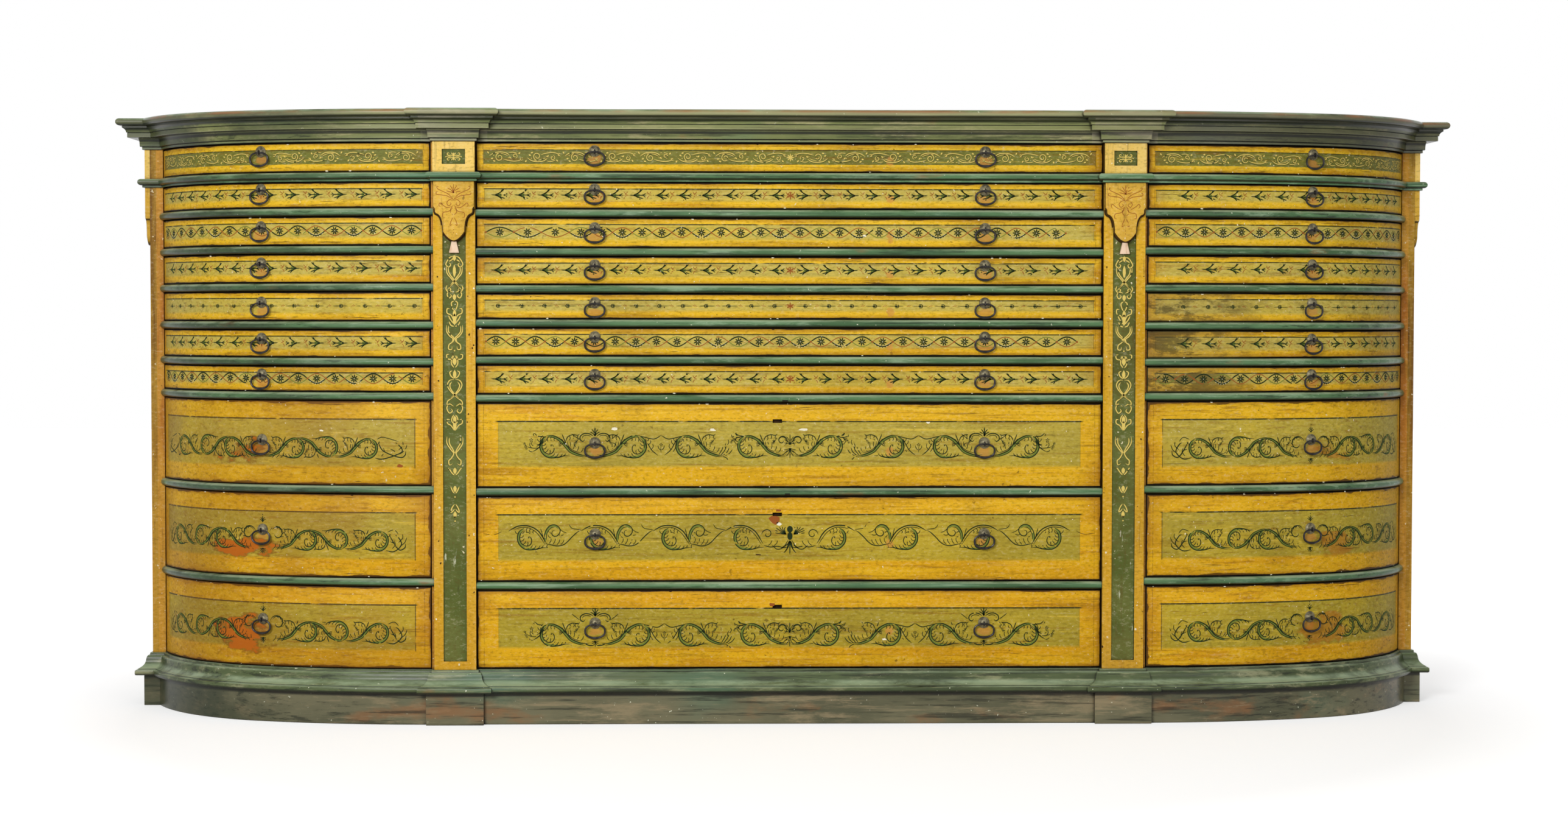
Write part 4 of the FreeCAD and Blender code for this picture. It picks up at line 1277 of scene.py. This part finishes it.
def ring_tendrils(pen, drop):
    """Curls either side of a ring and under it."""
    for near in pen.sides(PULL_SPREAD):
        strokes(near, 1.5, [(3, 14), (10, 18.5), (19, 19.5), (27, 15), (28, 8), (23, 4.5), (19, 8)])
        strokes(near, 1.0, [(8, 14), (15, 16), (22, 14.5), (24, 10)], [(30, 8), (38, 14), (44, 19)],
                [(33, 2), (38, -1), (36, -7)])
        strokes(near, 1.6, [(18, drop - 19), (12, drop - 21), (3, drop - 21.5)])


def rinceau_centre(pen, drop, places, below):
    """Leafy scrolls either side of a palmette, out to the flower sprays past the rings."""
    first, second, third, fourth = places
    palmette(pen, 0, drop + 2, 20, 1, rays=3)
    palmette(pen, 0, drop - 4, 20, -1, rays=3)
    for k in range(3):
        pen.stroke([(-3, drop - 2 + 2 * k), (3, drop - 2 + 2 * k)], 0.8, smooth=False)
    for half in pen.sides():
        acanthus(half, first, drop, mirror=-1, tail=False)
        acanthus(half, second, drop, mirror=-1)
        acanthus(half, third, drop, tail=False)
        acanthus(half, fourth, drop, mirror=-1, tail=False)
        spray(half, first, drop, -1)
        middle, reach = (second + third) / 2, (third - second) / 2
        meeting(half.moved(middle, drop), reach)
        strokes(half, 1.3, coil(15.0, drop + 10, 10.5, 250, -430))
        strokes(half, 0.9, coil(15.0, drop + 10, 7.6, 200, -180, end=0.8),
                [(4, drop - 8), (14, drop - 17), (26, drop - 19)])
        blossom(half, 31, drop + 9, 1.8)
        tuft(half.moved(fourth, drop, LEAF))
        palmette(half, PULL_SPREAD, 14, 17, 1, rays=2, width=1.6)
        ring_tendrils(half, drop)
        if below:
            palmette(half, PULL_SPREAD, -32, 12, -1, rays=3)


def wave_crest(own):
    """The stem over a crescent."""
    strokes(own, 1.6, [(-110, 44), (-80, 62), (-45, 78), (0, 82), (45, 72), (85, 48), (110, 18), (128, -14),
                       (144, -40)])
    strokes(own, 1.0, [(-70, 58), (-40, 66), (0, 70), (40, 60), (75, 36), (100, 6), (120, -24), (134, -48)],
            [(18, 68), (8, 50), (14, 34)], [(40, 62), (30, 48), (36, 34)], [(8, 34), (22, 36), (36, 26)],
            [(60, 50), (52, 38), (58, 28)])


def wave_dip(own):
    """The curl in a dip and the stem that runs on to the next crest."""
    strokes(own, 2.6, [(134, -28), (138, 20), (158, 66), (194, 80), (224, 60)], slot=FADED)
    strokes(own, 1.4, [(130, -32), (128, 10), (140, 50), (165, 80), (200, 86), (228, 66), (232, 38),
                       (214, 14), (190, 12), (178, 28), (184, 46), (198, 48)],
            [(132, -38), (170, -46), (210, -54), (250, -48), (280, -28), (310, 4), (345, 36), (370, 50)])
    strokes(own, 1.0, [(142, -14), (142, 14), (154, 44), (174, 66), (198, 70)],
            [(152, 20), (160, 6), (172, 2)], [(150, 40), (164, 38), (170, 28)],
            [(122, -8), (112, 34), (104, 62)], [(230, 60), (252, 42), (278, 32)],
            [(222, 22), (240, 16), (258, 22)], [(160, -38), (172, -20), (172, -2)],
            [(184, -44), (198, -24), (202, -4)], [(210, -48), (226, -28), (232, -8)],
            [(236, -46), (252, -30), (258, -12)], [(150, -46), (144, -58), (150, -66)],
            [(370, 54), (336, 58), (308, 66), (292, 90)])


def wave_start(own):
    """The curl next to the bud in the middle, in place of a dip."""
    strokes(own, 1.3, [(134, 20), (146, 44), (172, 54), (194, 40), (194, 18), (176, 6), (160, 16), (166, 30)],
            [(150, -50), (190, -62), (240, -58), (280, -66), (316, -60)])
    strokes(own, 1.0, [(176, -54), (196, -36), (204, -16)], [(214, -56), (234, -38), (242, -18)])


def rinceau_wave(pen, drop):
    """A waving vine with a large curl under each crest and a small one in each dip, about a winged bud."""
    for half in pen.sides():
        half.stroke([(545, drop + 12), (560, drop + 6), (580, drop + 8)], 0.7, CRACK_AND_SHADOW)
        for k in range(4):
            own = half.moved(92 + 136.5 * k, drop, LEAF, -1)
            crescent(own)
            wave_crest(own)
            if k:
                wave_dip(own)
            else:
                wave_start(own)
        for j in range(6):
            lean = math.radians(12 + 15 * j)
            reach = 26 - 2.2 * abs(j - 2)
            root = (7, drop + 6)
            bend = (7 + 0.55 * reach * math.cos(lean) + 3, drop + 6 + 0.5 * reach * math.sin(lean))
            tip = (7 + reach * math.cos(lean), drop + 6 + 0.72 * reach * math.sin(lean))
            half.stroke([root, bend, tip], 1.2)
        half.stroke([(3, drop - 4), (12, drop - 18), (24, drop - 22), (34, drop - 14)], 1.3)
        half.stroke([(2, drop - 6), (6, drop - 22), (12, drop - 29)], 1.2)
    pen.disc(0, drop + 16, 5.6, INK, 1.15, sides=12)
    pen.disc(0, drop + 16.5, 3.6, FADED, 1.15, sides=10)
    pen.disc(0, drop + 3, 5.0, INK, 1.5, sides=12)
    pen.disc(0, drop + 3, 3.2, FADED, 1.6, sides=10)
    palmette(pen, 0, drop - 5, 27, -1, rays=2, width=1.5)


CURL = (30, -6)


def rinceau_wing(pen, drop, places, embraced):
    """Scrolls that hang and stand by turns, running both ways from the ring."""
    hanging, standing, last, tail = places
    foot = drop - 20.0
    for half in pen.sides(GENTLE):
        acanthus(half, hanging, drop, 0.9, mirror=-1, tail=False)
        acanthus(half, standing, drop, 0.9, mirror=-1, flip=-1, tail=False)
        acanthus(half, last, drop, 0.9, mirror=-1, tail=False)
        strokes(half, 1.5,
                [(last + 14, drop + 12), (last + 24, drop - 6), (tail - 12, foot + 2), (tail - 2, foot + 6),
                 (tail, foot + 14)],
                [(last + 8, foot + 1), (last + 24, foot - 1), (tail - 8, foot + 12), (tail - 14, foot + 26),
                 (tail - 20, foot + 30)])
        strokes(half, 1.1, [(tail - 12, foot + 8), (tail - 2, foot + 16), (tail + 2, foot + 26)],
                [(tail - 14, foot + 16), (tail - 6, foot + 24), (tail - 6, foot + 32)],
                [(tail - 18, foot + 6), (tail - 22, foot + 14), (tail - 30, foot + 18)],
                [(last + 20, foot + 4), (last + 26, foot + 12), (last + 24, foot + 20)],
                [(last + 12, drop + 16), (last + 24, drop + 20), (tail - 14, drop + 12)])
        for k in range(3):
            half.stroke([(20 + 9 * k, foot - 1), (26 + 9 * k, foot + 5), (27 + 9 * k, foot + 11)], 0.9)
        if embraced:
            half.stroke(coil(*CURL, 15.5, 165, -330, end=0.3), 1.4, smooth=False)
            half.stroke(coil(*CURL, 12.5, 150, -150, end=0.85), 0.8, smooth=False)
            for angle in (100, 70, 40, 10, -20):
                rays = ((15, math.radians(angle)), (9, math.radians(angle - 28)))
                half.stroke([(CURL[0] + r * math.cos(a), CURL[1] + r * math.sin(a)) for r, a in rays], 0.9)
    if embraced:
        palmette(pen, GENTLE, 15, 12, 1, rays=2)
        pen.disc(GENTLE, 30, 1.0)
        palmette(pen, GENTLE, -34, 11, -1, rays=3)


def sprig(pen, x, y):
    own = pen.moved(x, y)
    own.stroke([(0, 0.6), (6, 0.2), (11, 0), (20, 0.2), (32, 0.2)], 1.3, thin=(0.2, 0.3))
    strokes(own, 1.2, [(23, 0.2), (27, 1.4), (30.6, 3.6)], [(23, 0), (27, -1.4), (30.2, -3.8)])
    leaves = [
        [(7.5, 0.4), (14, 3.2), (20, 7.2), (24.6, 11.4)],
        [(12.5, 1.6), (18.5, 6.2), (21.6, 11.6)],
        [(7.5, -0.2), (14, -2.4), (20, -4.6), (26, -6.2)],
        [(11.5, -1.4), (16.6, -4.4), (20.6, -8.6)],
    ]
    for leaf in leaves:
        own.stroke(leaf, 1.45, thin=(0.6, 0.3))
    own.stroke([(8, 0.2), (14, 1.2), (19, 2.2)], 2.2, FADED)
    own.stroke([(8, -0.2), (14, -1.0), (19, -2.2)], 2.2, FADED)
    strokes(own, 0.9, [(33, 7.4), (34.6, 3.6), (37.5, 1.0), (41, 0.4)],
            [(33.2, -6.8), (34.2, -3.6), (37, -0.8)], [(35.4, 3.0), (38.4, 4.6), (40.4, 7.2)], slot=RUST)


def bud(pen, x, y):
    own = pen.moved(x, y)
    own.stroke([(0, 0), (9, 0.2), (20, 0), (30, 0.2)], 0.8)
    own.stroke([(9, 0), (11.5, 2.8), (16.5, 2.9)], 1.1)
    own.stroke([(9, 0), (11.5, -2.7), (16.5, -2.8)], 1.1)
    own.petal(10.5, 0, 0, 7.5, 2.6)
    own.stroke([(32, 1.8), (34, 0.3), (37.5, 0.4), (40, -1.2)], 0.7, RUST)
    own.disc(35.5, 2.4, 0.7, RUST, sides=6)


def guilloche(pen, crossings, y, height=9.2):
    """Two strands that cross, with beads along one of them and a star between each two crossings."""
    for i, (a, b) in enumerate(zip(crossings, crossings[1:])):
        up = 1 if i % 2 == 0 else -1
        arc = [(a + (b - a) * t / 10, height * math.sin(math.pi * t / 10)) for t in range(11)]
        for turn, width, slot in ((up, 1.6, INK), (-up, 1.1, RUST if i % 3 else FADED)):
            pen.stroke([(x, y + turn * rise) for x, rise in arc], width, slot, thin=(0.6, 0.6), smooth=False)
        beads = rng.random() < 0.7
        for k in range(11 if beads else 0):
            t = 0.16 + 0.068 * k
            x, lift = a + (b - a) * t, height * math.sin(math.pi * t) + 1.5
            pen.disc(x, y + up * lift, 0.62, INK if up > 0 or k % 2 else PALE, sides=6)
            if up < 0:
                pen.disc(x, y + up * (lift - 3.2), 0.5, PALE, sides=6)
        middle, size = (a + b) / 2, min(1.0, (b - a) / 36)
        turn = rng.uniform(0, 45)
        for k in range(8):
            angle = 45 * k + turn
            c, s = math.cos(math.radians(angle)), math.sin(math.radians(angle))
            pen.petal(middle + 0.8 * c, y + 0.8 * s, angle, 7.4 * size, 1.9 * size)
        pen.disc(middle, y, 0.7, PALE)
        pen.disc(a, y, 1.9, RUST)
    pen.disc(crossings[-1], y, 1.9, RUST)


def arabesque(pen, start, end):
    """Running curls and leaves, light on the dark band."""
    count = round((end - start) / 69)
    pitch = (end - start) / count
    for i in range(count):
        for dx, dy, slot, extra in ((0.5, -0.8, SHADE, 0.5), (0, 0, CREAM, 0.0)):
            own = pen.moved(start + pitch * i + dx, dy, 1.0, 1, 1 if i % 2 else -1)
            own.stroke(coil(46, -1, 7.6, 120, -520, end=0.25, steps=26), 0.95 + extra, slot, smooth=False)
            own.stroke([(2, -1), (8, -6.4), (18, -8.2), (30, -6.6), (39, -4)], 1.0 + extra, slot)
            own.stroke(coil(4.5, -3.5, 3.2, 200, 330), 0.8 + extra, slot, smooth=False)
            own.stroke([(27, 3), (34, 7.6), (45, 9.0), (56, 7.2), (65, 1.5)], 1.1 + extra, slot)
            own.stroke([(30, 1.8), (38, 5.2), (47, 6.6), (53, 5.8)], 0.8 + extra, slot)
            own.stroke(coil(17, 1.6, 4.8, 260, -430), 0.9 + extra, slot, smooth=False)
            own.stroke([(12, 6.2), (20, 8.6), (28, 7.8)], 0.9 + extra, slot)
            for x, y, angle in ((58, -7, 200), (62, -4, 160), (24, -3, 40), (10, 5, 130), (66, 6, 60)):
                own.petal(x, y, angle, 4.8, 2.0, slot)
            own.disc(29, -1.5, 0.9, slot, sides=6)
            own.disc(56.5, 2.5, 0.9, slot, sides=6)


# Pitch of the sprigs: in the centre, and on a wing on the pilaster's side of the ring and beyond it
PITCH_CENTRE, PITCH_INNER, PITCH_OUTER = 43.5, {"left": 46.8, "right": 48.5}, 41.0
SPRIGS_START, SPRIGS_NEAR, SPRIGS_FAR = -564, 34, 320


def sprigs(pen, y, draw):
    """Sprigs along a centre drawer that grow towards its middle."""
    for half in reversed(pen.sides()):
        for i in range(13):
            draw(half, SPRIGS_START + PITCH_CENTRE * i + rng.uniform(-1.5, 1.5), y)
    for k in range(6):
        pen.petal(0, y, 60 * k + 30, 7.5, 1.8, RUST)


def wing_sprigs(pen, y, draw, inner_pitch):
    """Sprigs that point at the ring: a row on the pilaster's side of it and one on the outer side."""
    for mirror, pitch in ((1, inner_pitch), (-1, PITCH_OUTER)):
        half, away = pen.moved(GENTLE, 0, 1.0, mirror), SPRIGS_NEAR
        while away < SPRIGS_FAR:
            draw(half, -away, y)
            away += pitch


def wear_marks(pen, length, z0, z1, hinge, heavy=1.0):
    """Chips along the arrises, cracks along the board and stray nicks."""
    low, high = z0 - hinge, z1 - hinge
    for _ in range(round(length / 55 * heavy)):
        x, edge = rng.uniform(4, length - 4), rng.random() < 0.5
        y = low + rng.uniform(0.6, 2.2) if edge else high - rng.uniform(0.6, 2.0)
        pen.chip(x, y, rng.uniform(1.2, 3.6), CRACK_AND_SHADOW if rng.random() < 0.7 else PALE, rng.uniform(0.25, 0.5))
    for _ in range(round(length / 190 * heavy)):
        x, reach = rng.uniform(10, length - 60), rng.uniform(12, 55)
        y = rng.choice((low + rng.uniform(2, 8), high - rng.uniform(2, 8), rng.uniform(low + 5, high - 5)))
        pen.crack(x, x + reach, y, rng.uniform(0.35, 0.7))
    for _ in range(round(length / 75 * heavy)):
        x, y = rng.uniform(5, length - 5), rng.uniform(low + 3, high - 3)
        pen.chip(x, y, rng.uniform(0.5, 1.7), PALE if rng.random() < 0.55 else CRACK_AND_SHADOW, rng.uniform(0.4, 0.9))


WAVES = {7: -4.0, 8: -5.8, 9: -19.5}
SCROLLS = {7: (85, 202, 286, 459), 9: (79, 197, 279, 459)}
LARGE_CHIPS = {
    ("centre", 7): [(-333, 28, 8, PALE, 0.4), (-146, 26, 9, PALE, 0.35), (25, 27, 10, PALE, 0.3),
                    (262, 40, 6, PALE, 0.4)],
    ("centre", 8): [(-29, 27, 14, RUST, 0.8), (-20, 20, 9, PALE, 0.5), (-22, 46, 9, RUST, 0.3),
                    (-60, -38, 7, CRACK_AND_SHADOW, 0.3)],
    ("centre", 9): [(-34, 36, 8, RUST, 0.5), (180, -30, 6, PALE, 0.5)],
    ("centre", 2): [(-352, -14, 5, PALE, 0.6), (140, -12, 5, PALE, 0.5)],
    ("left", 7): [(60, -46, 9, RUST, 0.5), (212, 20, 5, PALE, 0.5)],
}

SPRIGS = {"centre": {1: sprig, 3: sprig, 4: bud, 6: sprig}, "wing": {1: sprig, 3: sprig, 4: bud, 5: sprig}}


def band_row(pen, place, y):
    if place == "centre":
        for half in pen.sides(0, y):
            arabesque(half, 6, HALF - 20)
        for k in range(8):
            pen.petal(0, y, 45 * k, 7.5, 1.5, CREAM)
    else:
        for turn, length in ((-1, GENTLE), (1, BOW - GENTLE)):
            arabesque(pen.moved(GENTLE, y, 1.0, turn), 24, length - 20)


def shallow_row(pen, place, row, y):
    draw = SPRIGS["centre" if place == "centre" else "wing"].get(row)
    if draw and place == "centre":
        sprigs(pen, y, draw)
    elif draw:
        wing_sprigs(pen, y, draw, PITCH_INNER[place])
    elif place == "centre":
        crossings = [-574, -521.5, -469.5, -417, -373] if row == 2 else [-574 + 37.0 * i for i in range(6)]
        last = crossings[-1]
        step = -last / round(-last / 37.3)
        guilloche(pen, crossings + [last + step * i for i in range(1, round(572 / step - last / step))], y)
    else:
        margin, count = 18.0, 17
        pitch = (BOW - 2 * margin) / count
        guilloche(pen, [margin + pitch * i for i in range(count + 1)], y)


def deep_row(pen, place, row):
    if place == "centre" and row == 8:
        rinceau_wave(pen, WAVES[row])
    elif place == "centre":
        rinceau_centre(pen, WAVES[row], SCROLLS[row], row == 9)
    else:
        loose = place == "left" and row == 7
        places = (74, 141, 218, 285) if loose else (98, 160, 238, 284)
        rinceau_wing(pen, -12 - 4 * (row - 7), places, not loose)


for place, rows in ROWS.items():
    for row, (z0, z1) in enumerate(rows):
        name = f"drawer_{place}_row{row + 1}"
        hinge = z0 + PULL_SHARES[row] * (z1 - z0)
        surface = centre_face if place == "centre" else wing_face(SIDES[place])
        pen = Pen(lambda x, y, out, surface=surface, hinge=hinge: surface(x, hinge + y, out))
        middle = (z0 + z1) / 2 + 1.0 - hinge
        if row == 0:
            band_row(pen, place, middle)
        elif row in DEEP_ROWS:
            deep_row(pen, place, row)
        else:
            shallow_row(pen, place, row, middle)
        for x, y, size, slot, squash in LARGE_CHIPS.get((place, row), ()):
            pen.chip(x, y, size, slot, squash)
        start, length = (GAP - HALF, 2 * (HALF - GAP)) if place == "centre" else (GAP, BOW - 2 * GAP)
        heavy = 1.4 if place != "centre" and row in DEEP_ROWS else 1.0
        wear_marks(pen.moved(start, 0), length, z0, z1, hinge, heavy)
        pen.build.make(f"{name}_ornament", name, PAINTS, "green_paint")


# The pilasters' ornament is drawn in units of this many millimetres
PX = 1.14


# Petals as (place, angle, length, width) down the shaft, and the lines of its right half
CANDELABRUM_PETALS = [
    (32, -90, 11, 4.5), (38, 90, 24, 4.5), (97, -90, 12, 5), (113, 90, 12, 5), (138, -90, 22, 5),
    (204, -90, 14, 6), (212, 90, 16, 5), (300, -90, 14, 5), (312, -90, 18, 5), (384, -90, 12, 5),
    (414, -90, 12, 5), (446, 90, 12, 5),
]
CANDELABRUM = [
    [(1, 26), (4, 30), (9, 33)],
    [(1, 24), (7, 26), (11, 31), (14, 38), (9, 42), (6, 38), (9, 35)],
    [(13, 40), (12, 52), (6, 60), (0, 67), (-7, 74), (-12, 80)],
    [(10, 41), (9, 51), (3, 60), (-3, 68), (-9, 76)],
    [(-12, 72), (-14, 78), (-10, 83), (-6, 79), (-9, 76)],
    [(2, 84), (8, 82), (12, 87), (9, 93), (5, 90), (7, 87)],
    [(1, 98), (5, 101), (4, 108), (1, 114)],
    [(1, 132), (5, 122), (12, 118), (12, 111), (8, 111)],
    [(1, 136), (7, 128), (10, 122)],
    [(1, 140), (6, 138), (9, 132)],
    [(13, 138), (13, 148), (8, 156), (3, 160), (4, 166), (9, 170), (10, 177), (5, 178), (4, 173)],
    [(10, 139), (10, 148), (5, 155), (1, 159), (2, 166)],
    [(1, 188), (5, 194), (12, 193), (13, 187), (9, 186)],
    [(1, 208), (5, 202), (5, 194), (3, 188)],
    [(1, 226), (6, 222), (8, 216), (4, 213)],
    [(1, 228), (8, 229), (12, 236), (9, 244), (2, 252), (-6, 259), (-12, 264), (-12, 270), (-7, 268)],
    [(5, 232), (8, 237), (6, 244), (0, 252), (-8, 260)],
    [(2, 272), (9, 268), (13, 275), (9, 283), (4, 280), (6, 276)],
    [(1, 302), (5, 296), (4, 290), (1, 286)],
    [(1, 312), (6, 304), (12, 300), (12, 294), (8, 294)],
    [(13, 322), (13, 333), (7, 343), (2, 350), (6, 358), (10, 362), (9, 369), (4, 367)],
    [(9, 324), (9, 333), (4, 342), (0, 350)],
    [(1, 386), (5, 382), (9, 376), (11, 374)],
    [(1, 416), (4, 412), (7, 405)],
    [(1, 434), (5, 440), (7, 447), (4, 446), (1, 442)],
]


def shaft_ornament(pen):
    """The candelabrum down a pilaster. y runs down from the tip of the apron."""
    for slot, dx, dy, extra in ((SHADE, 0.5, -0.7, 0.7), (CREAM, 0.0, 0.0, 0.0)):
        own = pen.moved(dx, dy, PX, 1, -1)
        for y, angle, length, width in CANDELABRUM_PETALS:
            own.petal(0, y, angle, length, width, slot)
        for y in (180, 422, 455, 462):
            own.disc(0, y, 1.5, slot)
        for half in own.sides():
            for line in CANDELABRUM:
                half.stroke(line, 1.5 + extra, slot)


def apron_ornament(pen):
    own = pen.moved(0, 0, PX, 1, -1)
    for k in range(-3, 4):
        lean = math.radians(25 * k)
        tip = (math.sin(lean) * (15 - abs(k)), 20 - math.cos(lean) * (15 - abs(k)))
        own.stroke([(0, 20), (tip[0] * 0.4, 20 + (tip[1] - 20) * 0.6), tip], 0.9, RUST)
    for half in own.sides():
        for line in (
            [(0, 31), (8, 22), (18, 17), (26, 13), (27, 9), (24, 10)],
            [(0, 31), (10, 25), (20, 23), (28, 22), (28, 18), (25, 18)],
            [(2, 30), (7, 31), (11, 36), (8, 41), (4, 38), (6, 35)],
            [(3, 42), (10, 44), (17, 40), (22, 36), (24, 40), (21, 43)],
            [(1, 44), (8, 50), (17, 52), (18, 59), (14, 60)],
            [(1, 56), (5, 51), (4, 45), (1, 40)],
            [(1, 60), (4, 66), (6, 73), (2, 71)],
        ):
            half.stroke(line, 0.85, RUST)
    own.stroke([(-4, 32), (4, 32)], 0.9, RUST, smooth=False)
    for y in (80, 85):
        own.disc(0, y, 0.9, RUST, sides=6)


def frieze_ornament(pen):
    for side in (-1, 1):
        for flip_y in (-1, 1):
            own = pen.moved(0, 0, 1.0, side, flip_y)
            own.stroke([(0.5, 0.5), (4, 2.5), (9, 2.2), (12, 4.5), (10, 7), (7.5, 5.5)], 1.1, CREAM)
            own.stroke([(0.5, 1), (1.5, 4), (4.5, 7.2)], 1.0, CREAM)
        pen.petal(0, 0, 90 * side, 7.5, 2.0, CREAM)
        pen.stroke([(3 * side, 0), (12 * side, 0.6), (16 * side, -1.4)], 0.9, CREAM)


shafts = Build()
frieze_middle = (CORNICE_FLOOR + WAIST_TOP) / 2
for index, at in enumerate(PILASTERS):
    def low(x, y, out, at=at):
        return at(x, PANEL_TOP + y, SHAFT - SUNK + out)

    def high(x, y, out, at=at):
        return at(x, WAIST_FLOOR + y, RELIEF + out)

    def sunk(x, y, out, at=at):
        return at(x, frieze_middle + y, RELIEF - SUNK + out)

    def beside(x, y, out, at=at):
        return at(x, WAIST_FLOOR + y, SHAFT - (SUNK if abs(x) < SUNK_WIDTH / 2 else 0.0) + out)

    outline = [(x, z - WAIST_FLOOR) for x, z in APRON]
    # Painted shade round the apron: a dark line just inside its rim, and a wider painted shadow on the shaft
    # around it
    for place, inset, width in ((high, 0.9, 1.0), (beside, -1.3, 2.0)):
        rim = [(x, z) for x, z in offset_inwards(outline, inset) if z < -0.2 * APRON_DROP]
        rim = [(x, z) for x, z in rim if abs(x) < PILASTER / 2 - 0.5]
        Pen(place, 0.0, shafts).stroke(rim, width, CRACK_AND_SHADOW, thin=(1, 1), smooth=False)
    shaft_ornament(Pen(low, 0.35, shafts))
    apron_ornament(Pen(high, 0.3, shafts))
    frieze_ornament(Pen(sunk, 0.1, shafts))
    marks = Pen(lambda x, y, out, at=at: at(x, y, SHAFT + out), 0.2, shafts)
    for _ in range(26):
        x = rng.choice((-1, 1)) * rng.uniform(24, 38.5)
        y = rng.uniform(BASE_TOP + 6, PANEL_TOP)
        marks.chip(x, y, rng.uniform(0.6, 2.4), CRACK_AND_SHADOW if rng.random() < 0.6 else PALE, rng.uniform(0.5, 1.6))
shafts.make("pilaster_ornament", "carcass", PAINTS, "green_paint")


# Light, floor and camera

scene = bpy.context.scene
scene.view_settings.view_transform = "Standard"


def only_seen(tree):
    """1 for the rays that see the background: camera, mirror and glass rays."""
    path = tree.nodes.new("ShaderNodeLightPath")
    found = path.outputs["Is Camera Ray"]
    for name in ("Is Glossy Ray", "Is Transmission Ray"):
        either = tree.nodes.new("ShaderNodeMath")
        either.operation = "MAXIMUM"
        tree.links.new(found, either.inputs[0])
        tree.links.new(path.outputs[name], either.inputs[1])
        found = either.outputs[0]
    return found


world = bpy.data.worlds.new("studio")
scene.world = world
world.use_nodes = True
sky = world.node_tree.nodes["Background"]
seen = only_seen(world.node_tree)
sky.inputs["Color"].default_value = (1, 1, 1, 1)
strength = world.node_tree.nodes.new("ShaderNodeMapRange")
world.node_tree.links.new(seen, strength.inputs["Value"])
strength.inputs["To Min"].default_value = 0.15
strength.inputs["To Max"].default_value = 1.0
world.node_tree.links.new(strength.outputs["Result"], sky.inputs["Strength"])

reach = 14.0
floor_mesh = bpy.data.meshes.new("floor")
corners = [(-reach, -reach, 0), (reach, -reach, 0), (reach, reach, 0), (-reach, reach, 0)]
floor_mesh.from_pydata(corners, [], [(0, 1, 2, 3)])
floor = bpy.data.objects.new("floor", floor_mesh)
scene.collection.objects.link(floor)
pale = Paint("pale_floor", (255, 255, 255), rough=0.9, specular=0.1)
pale.colour = (0.8, 0.8, 0.8, 1)
pale.shader.inputs["Emission Color"].default_value = (1, 1, 1, 1)
distance = pale.node("VectorMath", {0: pale.place}, operation="LENGTH")["Value"]
fading = {"Value": distance, "From Min": 1.25, "From Max": 2.2, "To Min": 0.52, "To Max": 1.0}
glow = pale.times(only_seen(pale.tree), pale.node("MapRange", fading)["Result"])
pale.put(pale.shader.inputs["Emission Strength"], glow)
floor_mesh.materials.append(pale.done())


def softbox(name, place, aim, size, power):
    light = bpy.data.lights.new(name, "AREA")
    light.shape, light.size, light.size_y, light.energy = "RECTANGLE", size[0], size[1], power
    lamp = bpy.data.objects.new(name, light)
    lamp.location = place
    lamp.rotation_mode = "QUATERNION"
    lamp.rotation_quaternion = (Vector(aim) - Vector(place)).to_track_quat("-Z", "Y")
    scene.collection.objects.link(lamp)


softbox("key", (-2.2, -6.0, 2.7), (0, -0.1, 0.55), (2.2, 1.1), 262)
softbox("overhead", (0.4, -1.9, 3.6), (0, -0.1, 0.6), (4.6, 0.8), 18)
softbox("behind", (0, 6.0, 0.62), (0, 0.3, 0.6), (3.4, 0.9), 110)
softbox("fill", (3.4, -6.0, 1.3), (0, 0, 0.6), (2.4, 2.4), 56)

# The camera as fitted to the photo: sizes in pixels, place in metres, turns in degrees
PHOTO_WIDTH, FOCAL_LENGTH = 2576, 4636.3
CAMERA_PLACE = (-0.1545, -5.5543, 0.7674)
YAW, PITCH, ROLL = (math.radians(turn) for turn in (1.532, 2.007, -0.065))

camera_data = bpy.data.cameras.new("camera")
camera_data.sensor_width = 36.0
camera_data.lens = FOCAL_LENGTH / PHOTO_WIDTH * camera_data.sensor_width
camera = bpy.data.objects.new("camera", camera_data)
camera.location = CAMERA_PLACE
camera.rotation_mode = "XYZ"
camera.rotation_euler = (math.pi / 2 - PITCH, ROLL, -YAW)
scene.collection.objects.link(camera)
scene.camera = camera
